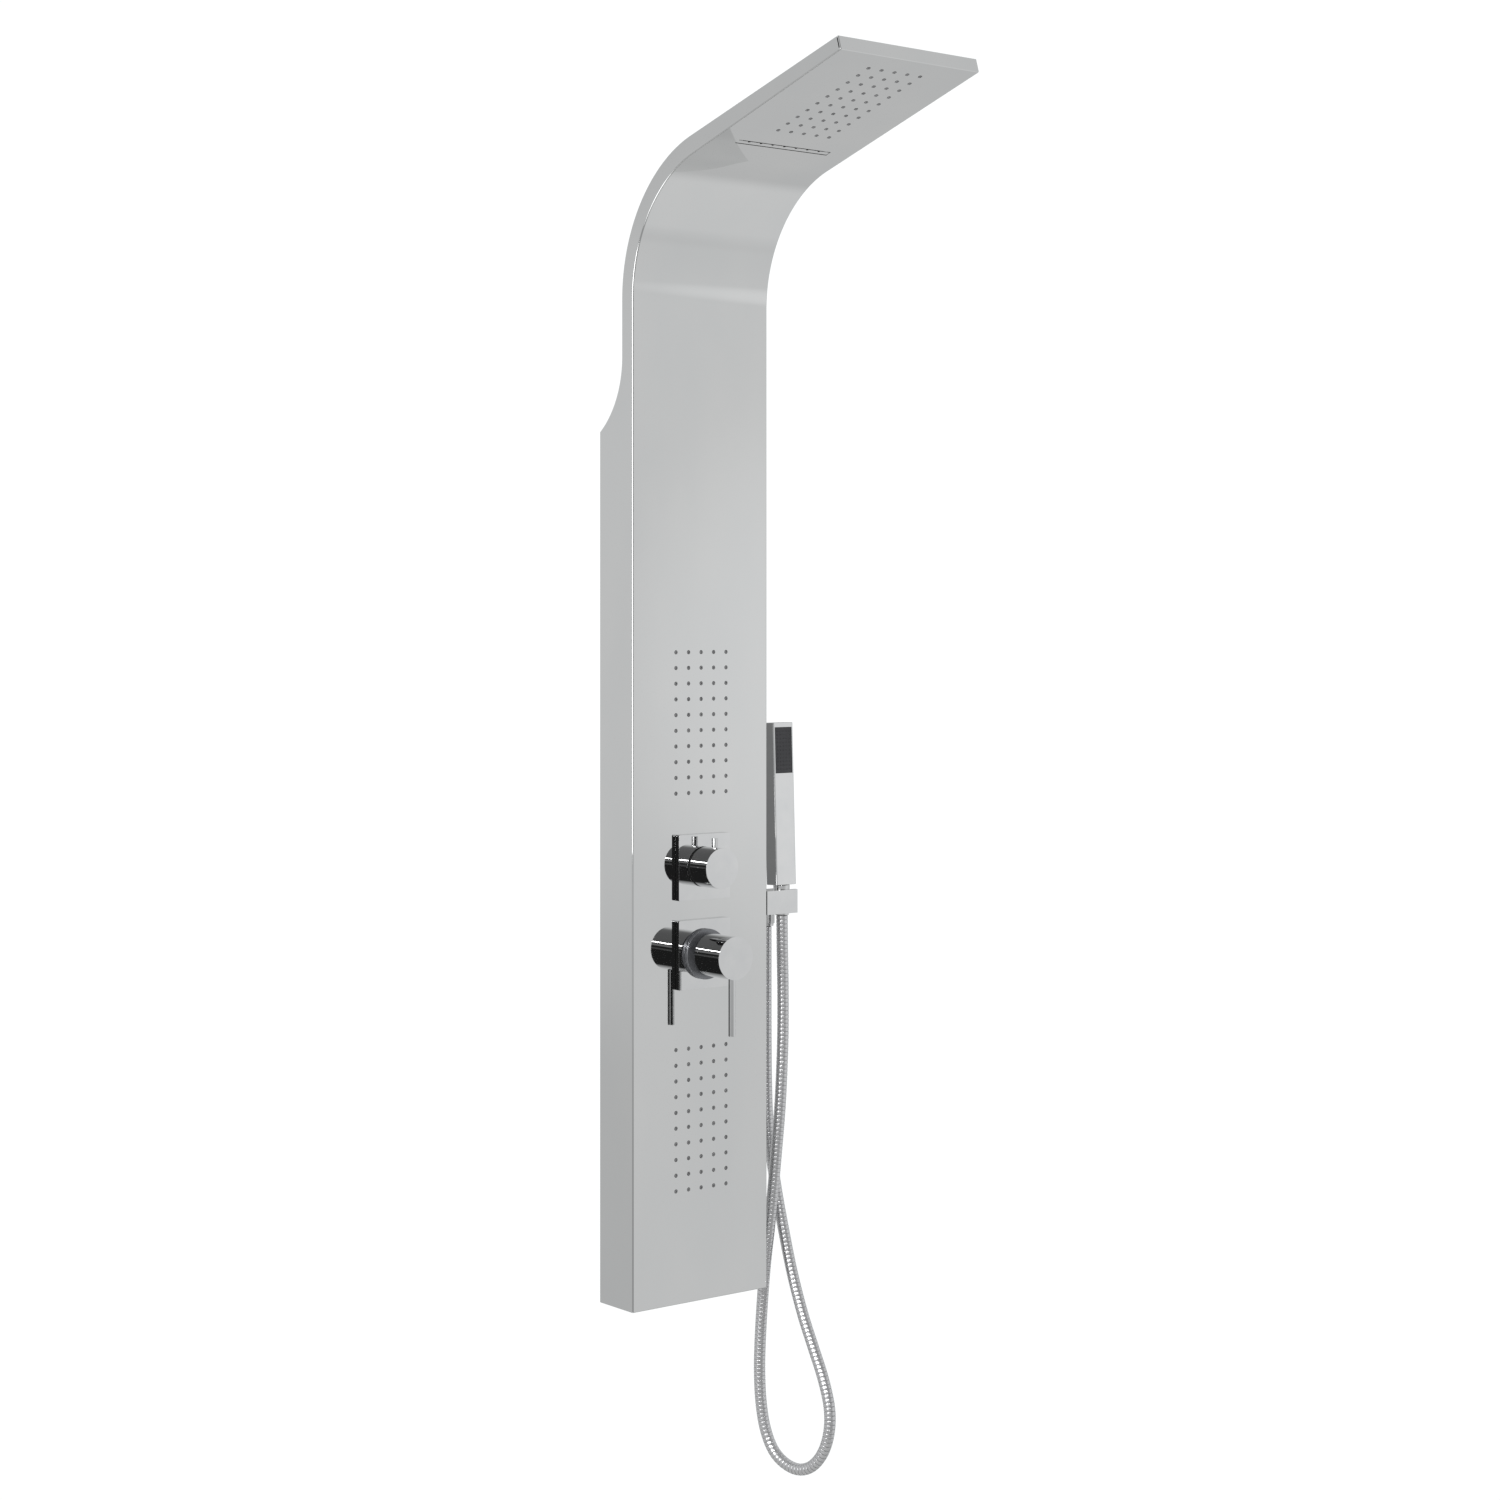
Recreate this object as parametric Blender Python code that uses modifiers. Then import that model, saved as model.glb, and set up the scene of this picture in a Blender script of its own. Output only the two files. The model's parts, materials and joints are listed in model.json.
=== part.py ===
"""Rainfall shower column: a wall-hung stainless panel whose top folds over into a rain canopy.

Metres, +Z up. The wall is the plane Y = 0 and the user stands towards -Y. The origin is the centre of
the upper wall bracket's back face. Sizes below are measured from the panel itself: x from its middle,
depth from its front sheet towards the wall (negative is towards the user) and height from its lower edge.
"""

import math

import bmesh
import bpy
from mathutils import Matrix, Vector

# Panel shell
PANEL_WIDTH = 0.200
PANEL_DEPTH = 0.0648
STRAIGHT_HEIGHT = 1.1762
SHEET = 0.0012
FOLD_RADIUS = 0.158
CANOPY_TURN = math.radians(73.6)
CANOPY_LENGTH = 0.2689
THIN_DEPTH = 0.0206
TIP_DEPTH = 0.0157
THIN_BELOW_FOLD = 0.0674
NOTCH_RADIUS = 0.1043
COVER_SHEET = 0.0010
COVER_ABOVE_NOTCH = 0.004

# Fits: GAP between still pieces, RUNNING between moving ones, PAST for a cutter beyond what it cuts
GAP = 0.0003
RUNNING = 0.0004
PAST = 0.003
WELD = 0.001
MERGE = 0.00001

# Hanging on the wall
HANG_BELOW_FOLD = 0.2162
LOWER_BRACKET_HEIGHT = 0.060
BRACKET_SHEET = 0.002
BRACKET_LENGTH = 0.120
BRACKET_TALL = 0.040
HOOK_SPACE = 0.004
HOOK_FLOOR = 0.004
HOOK_TIP = 0.018
RAIL_FRONT_TALL = 0.034
SCREW_SPACING = 0.080
SCREW_HOLE_RADIUS = 0.003

# Nozzle arrays: five columns by ten rows each
COLUMNS = 5
ROWS = 10
COLUMN_PITCH = 0.0186
JET_PITCH = 0.0184
RAIN_PITCH = 0.0178
UPPER_JET_TOP = 0.7649
LOWER_JET_TOP = 0.2988
RAIN_START = 0.0798
NOZZLE_RADIUS = 0.0018
NOZZLE_OUT = 0.0008
NOZZLE_SIDES = 4
MAT_SHEET = 0.0018
MAT_MARGIN = 0.009
CHAMBER_DEEP = 0.0084
MANIFOLD_DEEP = 0.0130
CHAMBER_WALL = 0.0018
JET_INLET = 0.020
RAIN_INLET = 0.015

# Waterfall outlet
WATERFALL_START = 0.0420
WATERFALL_MARGIN = 0.033
WATERFALL_OPENING = 0.0090
WATERFALL_LAND = 0.0075
WATERFALL_LAP = 0.004
WATERFALL_HOLES = 7
WATERFALL_HOLE_RADIUS = 0.0016

# Hoses inside the panel
FEED_RADIUS = 0.005
WIDE_FEED_RADIUS = 0.006
SPIGOT_RADIUS = 0.004
SPIGOT = 0.008
BEND = 0.016
NEAR_DEPTH = 0.014
FAR_DEPTH = 0.036
MIDDLE_DEPTH = 0.030
PIPE_SPACE = 0.004
SWERVE_HEIGHT = 0.8162
SWERVE_RISE = 0.080
THIN_ENTRY = 0.080
ENTRY_DROP = 0.010

# Controls
MIXER_HEIGHT = 0.4096
DIVERTER_HEIGHT = 0.5122
PLATE_WIDTH = 0.076
MIXER_PLATE_TALL = 0.0812
DIVERTER_PLATE_TALL = 0.0772
PLATE_OUT = 0.007
PLATE_WALL = 0.0015
BODY_RADIUS = 0.022
BODY_DEEP = 0.046
NECK_RADIUS = 0.016
RING_NUT_RADIUS = 0.024
RING_NUT_THICK = 0.004
CARTRIDGE_RADIUS = 0.013
CARTRIDGE_DEEP = 0.034
INLET_RADIUS = 0.009
INLET_REACH = 0.016
NIPPLE_COLLAR_RADIUS = 0.012
NIPPLE_THREAD_RADIUS = 0.0105
NIPPLE_COLLAR = 0.008
NIPPLE_LENGTH = 0.022
COLLAR_RADIUS = 0.0298
COLLAR_THICK = 0.0047
COLLAR_LIP = 0.001
COLLAR_FIT = 0.0015
HANDLE_RADIUS = 0.0252
HANDLE_WALL = 0.0025
HANDLE_REAR = 0.0205
HANDLE_FRONT = 0.0660
HANDLE_FACE = 0.0150
PIVOT_OUT = 0.0205
STEM_WIDTH = 0.010
STEM_TALL = 0.008
STEM_BEHIND_PIVOT = 0.002
STEM_END = 0.0490
CARRIER_SPACE = 0.002
CHEEK_THICK = 0.003
CHEEK_HALF_TALL = 0.0052
CHEEK_PAST_PIN = 0.00375
PIVOT_PIN_RADIUS = 0.0015
BOSS_RADIUS = 0.009
BOSS_REAR = 0.034
LEVER_RADIUS = 0.0041
LEVER_OUT = 0.0590
LEVER_SEAT = 0.014
LEVER_END = 0.0912
GRUB_RADIUS = 0.0025
GRUB_LENGTH = 0.0055
GRUB_OUT = 0.0420
KNOB_RADIUS = 0.0239
KNOB_FRONT = 0.0407
KNOB_WALL = 0.0035
KNOB_HOLLOW = 0.0085
GASKET_RADIUS = 0.0232
GASKET_THICK = 0.0018
GASKET_LIP = 0.0005
SPINDLE_RADIUS = 0.004
SPINDLE_INSIDE = 0.010
SPINDLE_END = 0.032
GRIP_PIN_RADIUS = 0.0036
GRIP_PIN_OUT = 0.0263
GRIP_PIN_SEAT = 0.015
GRIP_PIN_END = 0.0346

# Hand shower, its holder and its hose
HOLDER_REACH = 0.0475
HOLDER_DEEP = 0.0260
HOLDER_LOW = 0.4478
HOLDER_HIGH = 0.4763
CONE_CUT = 0.030
SEAT_REACH = 0.0325
SEAT_DEPTH = 0.0120
SEAT_HEIGHT = 0.4620
HAND_TILT = math.radians(2.0)
NUT_TOP = 0.0195
NUT_BOTTOM = -0.0170
NUT_TOP_RADIUS = 0.0102
NUT_BOTTOM_RADIUS = 0.0082
NUT_BORE_RADIUS = 0.0073
NUT_BORE_DEEP = 0.015
HOSE_SLOT = 0.0150
HANDSET_WIDTH = 0.031
HANDSET_DEEP = 0.020
HANDSET_TALL = 0.1965
HANDSET_EDGE = 0.0015
HANDSET_WALL = 0.0025
HANDSET_FOOT = 0.008
HANDSET_SPIGOT = 0.012
SPIGOT_BORE = 0.004
FACE_WIDTH = 0.0256
FACE_TALL = 0.0546
FACE_FROM_TOP = 0.0062
FACE_RECESS = 0.0016
FACE_LEDGE = 0.0015
HOSE_RADIUS = 0.007
OUTLET_REACH = 0.0280
OUTLET_DEPTH = 0.0370
OUTLET_HEIGHT = 0.4600
ELBOW_RADIUS = 0.0085
ELBOW_BULGE = 0.0001
ELBOW_FLANGE_RADIUS = 0.0104
ELBOW_FLANGE = 0.003
ELBOW_DROP = 0.0120
THREAD_RADIUS = 0.0080
THREAD_INSIDE = 0.020
BACKNUT_RADIUS = 0.0125
BACKNUT_THICK = 0.006
HOSE_NUT_RADIUS = 0.0105
HOSE_NUT_TALL = 0.0175
HOLDER_SCREW_RADIUS = 0.002
HOLDER_SCREW_HEAD = 0.0036
HOLDER_HEAD_THICK = 0.0022
HOLDER_SCREW_LENGTH = 0.014
HOLDER_SCREW_SPACING = 0.014

# Route of the free hose from the hand shower's nut down, round and up to the outlet, as the distance
# from the panel's side, the depth behind its front sheet and the height above its lower edge
HOSE_ROUTE = (
    (0.0325, 0.0114, 0.4446), (0.0325, 0.0108, 0.4020), (0.0325, 0.0096, 0.3540),
    (0.0310, 0.0080, 0.3000), (0.0290, 0.0080, 0.2515), (0.0265, 0.0085, 0.2090),
    (0.0235, 0.0110, 0.1610), (0.0205, 0.0142, 0.1120), (0.0180, 0.0187, 0.0630),
    (0.0158, 0.0233, 0.0200), (0.0145, 0.0272, -0.0250), (0.0140, 0.0307, -0.0720),
    (0.0142, 0.0322, -0.1110), (0.0152, 0.0304, -0.1480), (0.0172, 0.0245, -0.1790),
    (0.0202, 0.0126, -0.2025), (0.0240, -0.0055, -0.2150), (0.0282, -0.0265, -0.2180),
    (0.0322, -0.0465, -0.2095), (0.0360, -0.0622, -0.1900), (0.0390, -0.0695, -0.1640),
    (0.0408, -0.0675, -0.1360), (0.0415, -0.0550, -0.1040), (0.0415, -0.0368, -0.0710),
    (0.0410, -0.0175, -0.0345), (0.0400, 0.0012, 0.0120), (0.0386, 0.0150, 0.0585),
    (0.0370, 0.0277, 0.1080), (0.0348, 0.0362, 0.1560), (0.0322, 0.0392, 0.2000),
    (0.0302, 0.0388, 0.2420), (0.0290, 0.0381, 0.2960), (0.0283, 0.0374, 0.3515),
    (0.0280, 0.0370, 0.3950), (0.0280, 0.0370, 0.4292),
)
HOSE_STEPS = 2

# Worked out from the sizes above
HALF_WIDTH = PANEL_WIDTH / 2
HANG_HEIGHT = STRAIGHT_HEIGHT - HANG_BELOW_FOLD
INNER_HALF = HALF_WIDTH - SHEET - GAP
THIN_HEIGHT = STRAIGHT_HEIGHT - THIN_BELOW_FOLD
ARRAY_HALF = COLUMN_PITCH * (COLUMNS - 1) / 2 + MAT_MARGIN
WATERFALL_HALF = HALF_WIDTH - WATERFALL_MARGIN
SEAT_X = HALF_WIDTH + SEAT_REACH
OUTLET_X = HALF_WIDTH + OUTLET_REACH
PIPE_MIDDLE = SHEET + (THIN_DEPTH - COVER_SHEET - SHEET) / 2
WATERFALL_PIPE_X = -ARRAY_HALF - FEED_RADIUS - PIPE_SPACE
RAIN_PIPE_X = HALF_WIDTH - 4 * PIPE_SPACE
RISER_X = HALF_WIDTH - 0.034
LOWER_FEED_X = -HALF_WIDTH + 5 * PIPE_SPACE

# Finishes: colour, roughness, metallic
STEEL = ("polished_steel", (0.74, 0.75, 0.75), 0.12, 1.0)
BRACKET_STEEL = ("bracket_steel", (0.60, 0.61, 0.62), 0.38, 1.0)
CHROME = ("chrome_plate", (0.80, 0.81, 0.82), 0.06, 1.0)
BRASS = ("cast_brass", (0.72, 0.55, 0.25), 0.35, 1.0)
DARK_RING = ("dark_ring", (0.10, 0.11, 0.12), 0.40, 0.0)
SILICONE = ("nozzle_silicone", (0.42, 0.43, 0.44), 0.60, 0.0)
MOULDING = ("white_moulding", (0.78, 0.78, 0.76), 0.50, 0.0)
HOSE_PLASTIC = ("feed_hose", (0.62, 0.64, 0.66), 0.45, 0.0)
CARTRIDGE = ("cartridge_plastic", (0.55, 0.56, 0.58), 0.45, 0.0)


def start_scene():
    """Empties the scene and makes the two collections."""
    for old in list(bpy.data.objects):
        bpy.data.objects.remove(old)
    parts = bpy.data.collections.new("rainfall_shower_column")
    cutters = bpy.data.collections.new("cutters")
    for collection in (parts, cutters):
        bpy.context.scene.collection.children.link(collection)
    return parts, cutters


PARTS, CUTTERS = start_scene()


def place(x, depth, height):
    """World position of a point given from the panel's middle, front sheet and lower edge."""
    return Vector((x, depth - PANEL_DEPTH, height - HANG_HEIGHT))


def finish_of(finish):
    """The material of a finish, made the first time it is asked for."""
    name, colour, roughness, metallic = finish
    made = bpy.data.materials.get(name)
    if made is None:
        made = bpy.data.materials.new(name)
        made.use_nodes = True
        shader = made.node_tree.nodes["Principled BSDF"]
        shader.inputs["Base Color"].default_value = (*colour, 1)
        shader.inputs["Roughness"].default_value = roughness
        shader.inputs["Metallic"].default_value = metallic
    return made


def keep(name, data, finish, spot=(0, 0, 0), turn=(0, 0, 0), parent=None):
    """Puts a mesh or a curve in the scene: as a part when it has a finish, else as a cutter."""
    made = bpy.data.objects.new(name, data)
    made.location = spot
    made.rotation_euler = turn
    made.parent = parent
    if finish is None:
        CUTTERS.objects.link(made)
        made.hide_render = True
        made.display_type = "WIRE"
    else:
        PARTS.objects.link(made)
        data.materials.append(finish_of(finish))
    return made


def empty_at(name, spot, turn=(0, 0, 0)):
    """An axis or a local frame that pieces are parented to."""
    made = bpy.data.objects.new(name, None)
    made.location = spot
    made.rotation_euler = turn
    PARTS.objects.link(made)
    return made


def mesh_from(name, bm):
    mesh = bpy.data.meshes.new(name)
    bm.to_mesh(mesh)
    bm.free()
    return mesh


def box(name, low, high, finish, parent=None, spot=(0, 0, 0), turn=(0, 0, 0)):
    """A block between two corners."""
    bm = bmesh.new()
    bmesh.ops.create_cube(bm, size=1)
    low, high = Vector(low), Vector(high)
    bmesh.ops.scale(bm, vec=high - low, verts=bm.verts)
    bmesh.ops.translate(bm, vec=(low + high) / 2, verts=bm.verts)
    return keep(name, mesh_from(name, bm), finish, spot, turn, parent)


def panel_box(name, low, high, finish):
    """A block whose corners are given as x, depth and height."""
    return box(name, place(*low), place(*high), finish)


def turned(name, profile, finish, parent=None, spot=(0, 0, 0), turn=(0, 0, 0), steps=24):
    """A piece turned about its local Z: (radius, height) points down its outer side, and back up a bore."""
    bm = bmesh.new()
    points = [bm.verts.new((radius, 0, height)) for radius, height in profile]
    for first, second in zip(points, points[1:]):
        bm.edges.new((first, second))
    if profile[0][0] > 0:
        bm.edges.new((points[-1], points[0]))
    made = keep(name, mesh_from(name, bm), finish, spot, turn, parent)
    screw = made.modifiers.new("turn", "SCREW")
    screw.steps = screw.render_steps = steps
    screw.use_merge_vertices = True
    screw.merge_threshold = MERGE
    return made


def rod(name, radius, low, high, finish, parent=None, spot=(0, 0, 0), turn=(0, 0, 0), steps=24):
    """A solid cylinder along its local Z."""
    profile = ((0, high), (radius, high), (radius, low), (0, low))
    return turned(name, profile, finish, parent, spot, turn, steps)


def ring(name, outer, inner, low, high, finish, parent=None, spot=(0, 0, 0), turn=(0, 0, 0), steps=24):
    """A cylinder with a bore along its local Z."""
    profile = ((outer, high), (outer, low), (inner, low), (inner, high))
    return turned(name, profile, finish, parent, spot, turn, steps)


def pins(name, spots, radius, low, high, finish=None, parent=None, spot=(0, 0, 0), turn=(0, 0, 0)):
    """Many small equal posts along local Z, at (x, y) spots."""
    bm = bmesh.new()
    for x, y in spots:
        bmesh.ops.create_cone(
            bm, cap_ends=True, segments=NOZZLE_SIDES, radius1=radius, radius2=radius, depth=high - low,
            matrix=Matrix.Translation((x, y, (low + high) / 2)) @ Matrix.Rotation(math.pi / 4, 4, "Z"),
        )
    return keep(name, mesh_from(name, bm), finish, spot, turn, parent)


def prism(name, outline, half, finish, parent=None, spot=(0, 0, 0), turn=(0, 0, 0)):
    """A flat outline given as (depth, height) or (x, y) points, made solid to both sides by half."""
    curve = bpy.data.curves.new(name, "CURVE")
    curve.dimensions = "2D"
    curve.fill_mode = "BOTH"
    curve.extrude = half
    spline = curve.splines.new("POLY")
    spline.points.add(len(outline) - 1)
    for point, (x, y) in zip(spline.points, outline):
        point.co = (x, y, 0, 1)
    spline.use_cyclic_u = True
    drawn = keep("outline", curve, None)
    bpy.context.view_layer.update()
    graph = bpy.context.evaluated_depsgraph_get()
    mesh = bpy.data.meshes.new_from_object(drawn.evaluated_get(graph))
    bpy.data.objects.remove(drawn)
    bm = bmesh.new()
    bm.from_mesh(mesh)
    bmesh.ops.remove_doubles(bm, verts=bm.verts, dist=MERGE)
    bmesh.ops.recalc_face_normals(bm, faces=bm.faces)
    bm.to_mesh(mesh)
    bm.free()
    mesh.name = name
    return keep(name, mesh, finish, spot, turn, parent)


ACROSS = (math.pi / 2, 0, math.pi / 2)
OUTWARD = (math.pi / 2, 0, 0)
SIDEWAYS = (0, math.pi / 2, 0)
SIDEWAYS_LEFT = (0, -math.pi / 2, 0)
UPSIDE_DOWN = (math.pi, 0, 0)


def across(name, outline, half, finish):
    """A prism along X whose outline is given as (depth, height) points."""
    return prism(name, outline, half, finish, spot=place(0, 0, 0), turn=ACROSS)


def tube(name, points, radius, finish, resolution=2):
    """A round tube of one radius through world points."""
    curve = bpy.data.curves.new(name, "CURVE")
    curve.dimensions = "3D"
    curve.bevel_depth = radius
    curve.bevel_resolution = resolution
    curve.use_fill_caps = True
    spline = curve.splines.new("POLY")
    spline.points.add(len(points) - 1)
    for point, where in zip(spline.points, points):
        point.co = (*where, 1)
    return keep(name, curve, finish)


def combine(target, other, operation):
    """Cuts other from target, or joins it on."""
    modifier = target.modifiers.new(other.name, "BOOLEAN")
    modifier.operation = operation
    modifier.object = other
    modifier.solver = "EXACT"


def cut(target, other):
    combine(target, other, "DIFFERENCE")


def join(target, other):
    combine(target, other, "UNION")


def arc(centre, radius, start, end, steps):
    """Points on an arc, its two ends included."""
    turns = [start + (end - start) * i / steps for i in range(steps + 1)]
    return [(centre[0] + radius * math.cos(a), centre[1] + radius * math.sin(a)) for a in turns]


def rounded(corners, radius, steps=4):
    """A path through corners, each turned with an arc of about that radius."""
    path = [corners[0]]
    for before, corner, after in zip(corners, corners[1:], corners[2:]):
        back = (before - corner).normalized()
        ahead = (after - corner).normalized()
        half_angle = back.angle(ahead) / 2
        reach = min(radius / math.tan(half_angle), (before - corner).length / 2, (after - corner).length / 2)
        bend = reach * math.tan(half_angle)
        inward = (back + ahead).normalized()
        middle = corner + inward * (bend / math.sin(half_angle))
        first = (corner + back * reach - middle).normalized()
        last = (corner + ahead * reach - middle).normalized()
        for i in range(steps + 1):
            path.append(middle + first.slerp(last, i / steps) * bend)
    path.append(corners[-1])
    return path


def smooth(points, steps):
    """A curve through every point that keeps an even flow between them."""
    ends = [2 * points[0] - points[1], *points, 2 * points[-1] - points[-2]]
    path = []
    for a, b, c, d in zip(ends, ends[1:], ends[2:], ends[3:]):
        for i in range(steps):
            t = i / steps
            bend = (-a + 3 * b - 3 * c + d) * t ** 3 + (2 * a - 5 * b + 4 * c - d) * t ** 2
            path.append((bend + (c - a) * t + 2 * b) / 2)
    path.append(points[-1])
    return path


def canopy_point(along, above):
    """(depth, height) of a point along the canopy from the fold's end, above its lower face."""
    run = Vector((-math.sin(CANOPY_TURN), math.cos(CANOPY_TURN)))
    up = Vector((math.cos(CANOPY_TURN), math.sin(CANOPY_TURN)))
    fold_end = Vector((-FOLD_RADIUS, STRAIGHT_HEIGHT)) + up * FOLD_RADIUS
    return fold_end + run * along + up * above


def back_depth(along):
    """How far the canopy's upper side lies above its lower face."""
    return THIN_DEPTH + (TIP_DEPTH - THIN_DEPTH) * along / CANOPY_LENGTH


def fold_arc(depth, steps=14):
    """The fold at a given depth behind the front sheet, from its lower end up."""
    return arc((-FOLD_RADIUS, STRAIGHT_HEIGHT), FOLD_RADIUS + depth, 0, CANOPY_TURN, steps)


def notch_points(steps=6):
    """The side's concave step, from the wall edge in to the thin upper part."""
    centre = (THIN_DEPTH + NOTCH_RADIUS, THIN_HEIGHT)
    drop = math.acos((centre[0] - PANEL_DEPTH) / NOTCH_RADIUS)
    return arc(centre, NOTCH_RADIUS, math.pi + drop, math.pi, steps)


# Local frames of the nozzle arrays: x towards world -X, y along the rows, z in through the sheet
PANEL_FRAME = empty_at("panel_frame", place(0, 0, 0), (math.pi / 2, 0, math.pi))
CANOPY_FRAME = empty_at(
    "canopy_frame", place(0, *canopy_point(0, 0)), (math.pi / 2 - CANOPY_TURN, 0, math.pi)
)


def shell_outline(inset, open_back):
    """The side view of the folded sheet, drawn in by inset, and past its back for the hollow's cutter."""
    beyond = PANEL_DEPTH if open_back else 0
    tip = CANOPY_LENGTH - inset
    front = [(inset, inset)] + fold_arc(inset)
    front.append(tuple(canopy_point(tip, inset)))
    front.append(tuple(canopy_point(tip, back_depth(CANOPY_LENGTH) + beyond)))
    back = [tuple(canopy_point(0, THIN_DEPTH + beyond))]
    back += list(reversed(fold_arc(THIN_DEPTH + beyond)))[1:]
    if open_back:
        back += [(PANEL_DEPTH + beyond, STRAIGHT_HEIGHT), (PANEL_DEPTH + beyond, inset)]
    else:
        back += list(reversed(notch_points())) + [(PANEL_DEPTH, 0)]
    return front + back


def make_panel():
    """The folded sheet: front, canopy underside, tip, bottom and both sides in one piece."""
    panel = across("front_panel", shell_outline(0, False), HALF_WIDTH, STEEL)
    hollow = across("panel_hollow", shell_outline(SHEET, True), HALF_WIDTH - SHEET, None)
    cut(panel, hollow)
    return panel


def make_cover():
    """The sheet that closes the back of the thin part, the fold and the canopy's upper side."""
    start = THIN_HEIGHT + COVER_ABOVE_NOTCH
    outer, inner = THIN_DEPTH, THIN_DEPTH - COVER_SHEET
    end = CANOPY_LENGTH - SHEET - GAP
    outline = [(outer, start)] + fold_arc(outer)
    outline.append(tuple(canopy_point(end, back_depth(end))))
    outline.append(tuple(canopy_point(end, back_depth(end) - COVER_SHEET)))
    outline += list(reversed(fold_arc(inner))) + [(inner, start)]
    across("canopy_cover", outline, INNER_HALF, STEEL)


def make_hanger(level, height):
    """One wall bracket and the panel rail that hooks over it."""
    wall = PANEL_DEPTH
    plate = wall - BRACKET_SHEET
    lip_back = plate - HOOK_SPACE
    lip_front = lip_back - BRACKET_SHEET
    half = BRACKET_TALL / 2
    outline = (
        (wall, -half), (wall, half), (plate, half), (plate, HOOK_FLOOR + BRACKET_SHEET),
        (lip_back, HOOK_FLOOR + BRACKET_SHEET), (lip_back, HOOK_TIP), (lip_front, HOOK_TIP),
        (lip_front, HOOK_FLOOR), (plate, HOOK_FLOOR), (plate, -half),
    )
    bracket = across(
        f"{level}_wall_bracket", [(y, z + height) for y, z in outline], BRACKET_LENGTH / 2, BRACKET_STEEL
    )
    for side in (-1, 1):
        spot = place(side * SCREW_SPACING / 2, wall, height - half / 2)
        hole = rod(f"{level}_screw_hole", SCREW_HOLE_RADIUS, -PAST, PAST, None, None, spot, OUTWARD, 12)
        cut(bracket, hole)
    tongue = (plate + lip_back) / 2
    under = HOOK_TIP + GAP
    top = under + BRACKET_SHEET
    rail_back = lip_front - HOOK_SPACE / 2
    rail = (
        (tongue + BRACKET_SHEET / 2, HOOK_FLOOR + 2 * BRACKET_SHEET), (tongue + BRACKET_SHEET / 2, top),
        (rail_back - BRACKET_SHEET, top), (rail_back - BRACKET_SHEET, top - RAIL_FRONT_TALL),
        (rail_back, top - RAIL_FRONT_TALL), (rail_back, under), (tongue - BRACKET_SHEET / 2, under),
        (tongue - BRACKET_SHEET / 2, HOOK_FLOOR + 2 * BRACKET_SHEET),
    )
    across(f"{level}_hook_rail", [(y, z + height) for y, z in rail], INNER_HALF, BRACKET_STEEL)


def grid(pitch):
    """(x, along) spots of one array, along counted from its first row."""
    return [
        ((column - (COLUMNS - 1) / 2) * COLUMN_PITCH, row * pitch)
        for column in range(COLUMNS)
        for row in range(ROWS)
    ]


def make_array(name, chamber_name, panel, frame, first_row, pitch, deep, inlet):
    """Nozzle mat and its water box in a local frame: x across, y along the rows, z into the panel."""
    spots = [(x, first_row + along) for x, along in grid(pitch)]
    low, high = first_row - MAT_MARGIN, first_row + (ROWS - 1) * pitch + MAT_MARGIN
    holes = pins(f"{name}_holes", spots, NOZZLE_RADIUS + GAP, -PAST, SHEET + PAST, None, frame)
    cut(panel, holes)
    back = SHEET + GAP + MAT_SHEET
    mat = box(name, (-ARRAY_HALF, low, SHEET + GAP), (ARRAY_HALF, high, back), SILICONE, frame)
    join(mat, pins(f"{name}_nozzles", spots, NOZZLE_RADIUS, -NOZZLE_OUT, back - MAT_SHEET / 2, None, frame))
    front, rear = back + GAP, back + GAP + deep
    chamber = box(chamber_name, (-ARRAY_HALF, low, front), (ARRAY_HALF, high, rear), MOULDING, frame)
    side, along = inlet
    spigot_spot = (0, along, (front + rear) / 2)
    turn = SIDEWAYS if side > 0 else SIDEWAYS_LEFT
    reach = ARRAY_HALF + SPIGOT
    spigot = rod(
        f"{chamber_name}_spigot", SPIGOT_RADIUS, ARRAY_HALF - CHAMBER_WALL / 2, reach, None, frame,
        spigot_spot, turn, 12,
    )
    join(chamber, spigot)
    wall = CHAMBER_WALL
    hollow = box(
        f"{chamber_name}_hollow",
        (-ARRAY_HALF + wall, low + wall, front - PAST),
        (ARRAY_HALF - wall, high - wall, rear - wall),
        None,
        frame,
    )
    cut(chamber, hollow)


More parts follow.
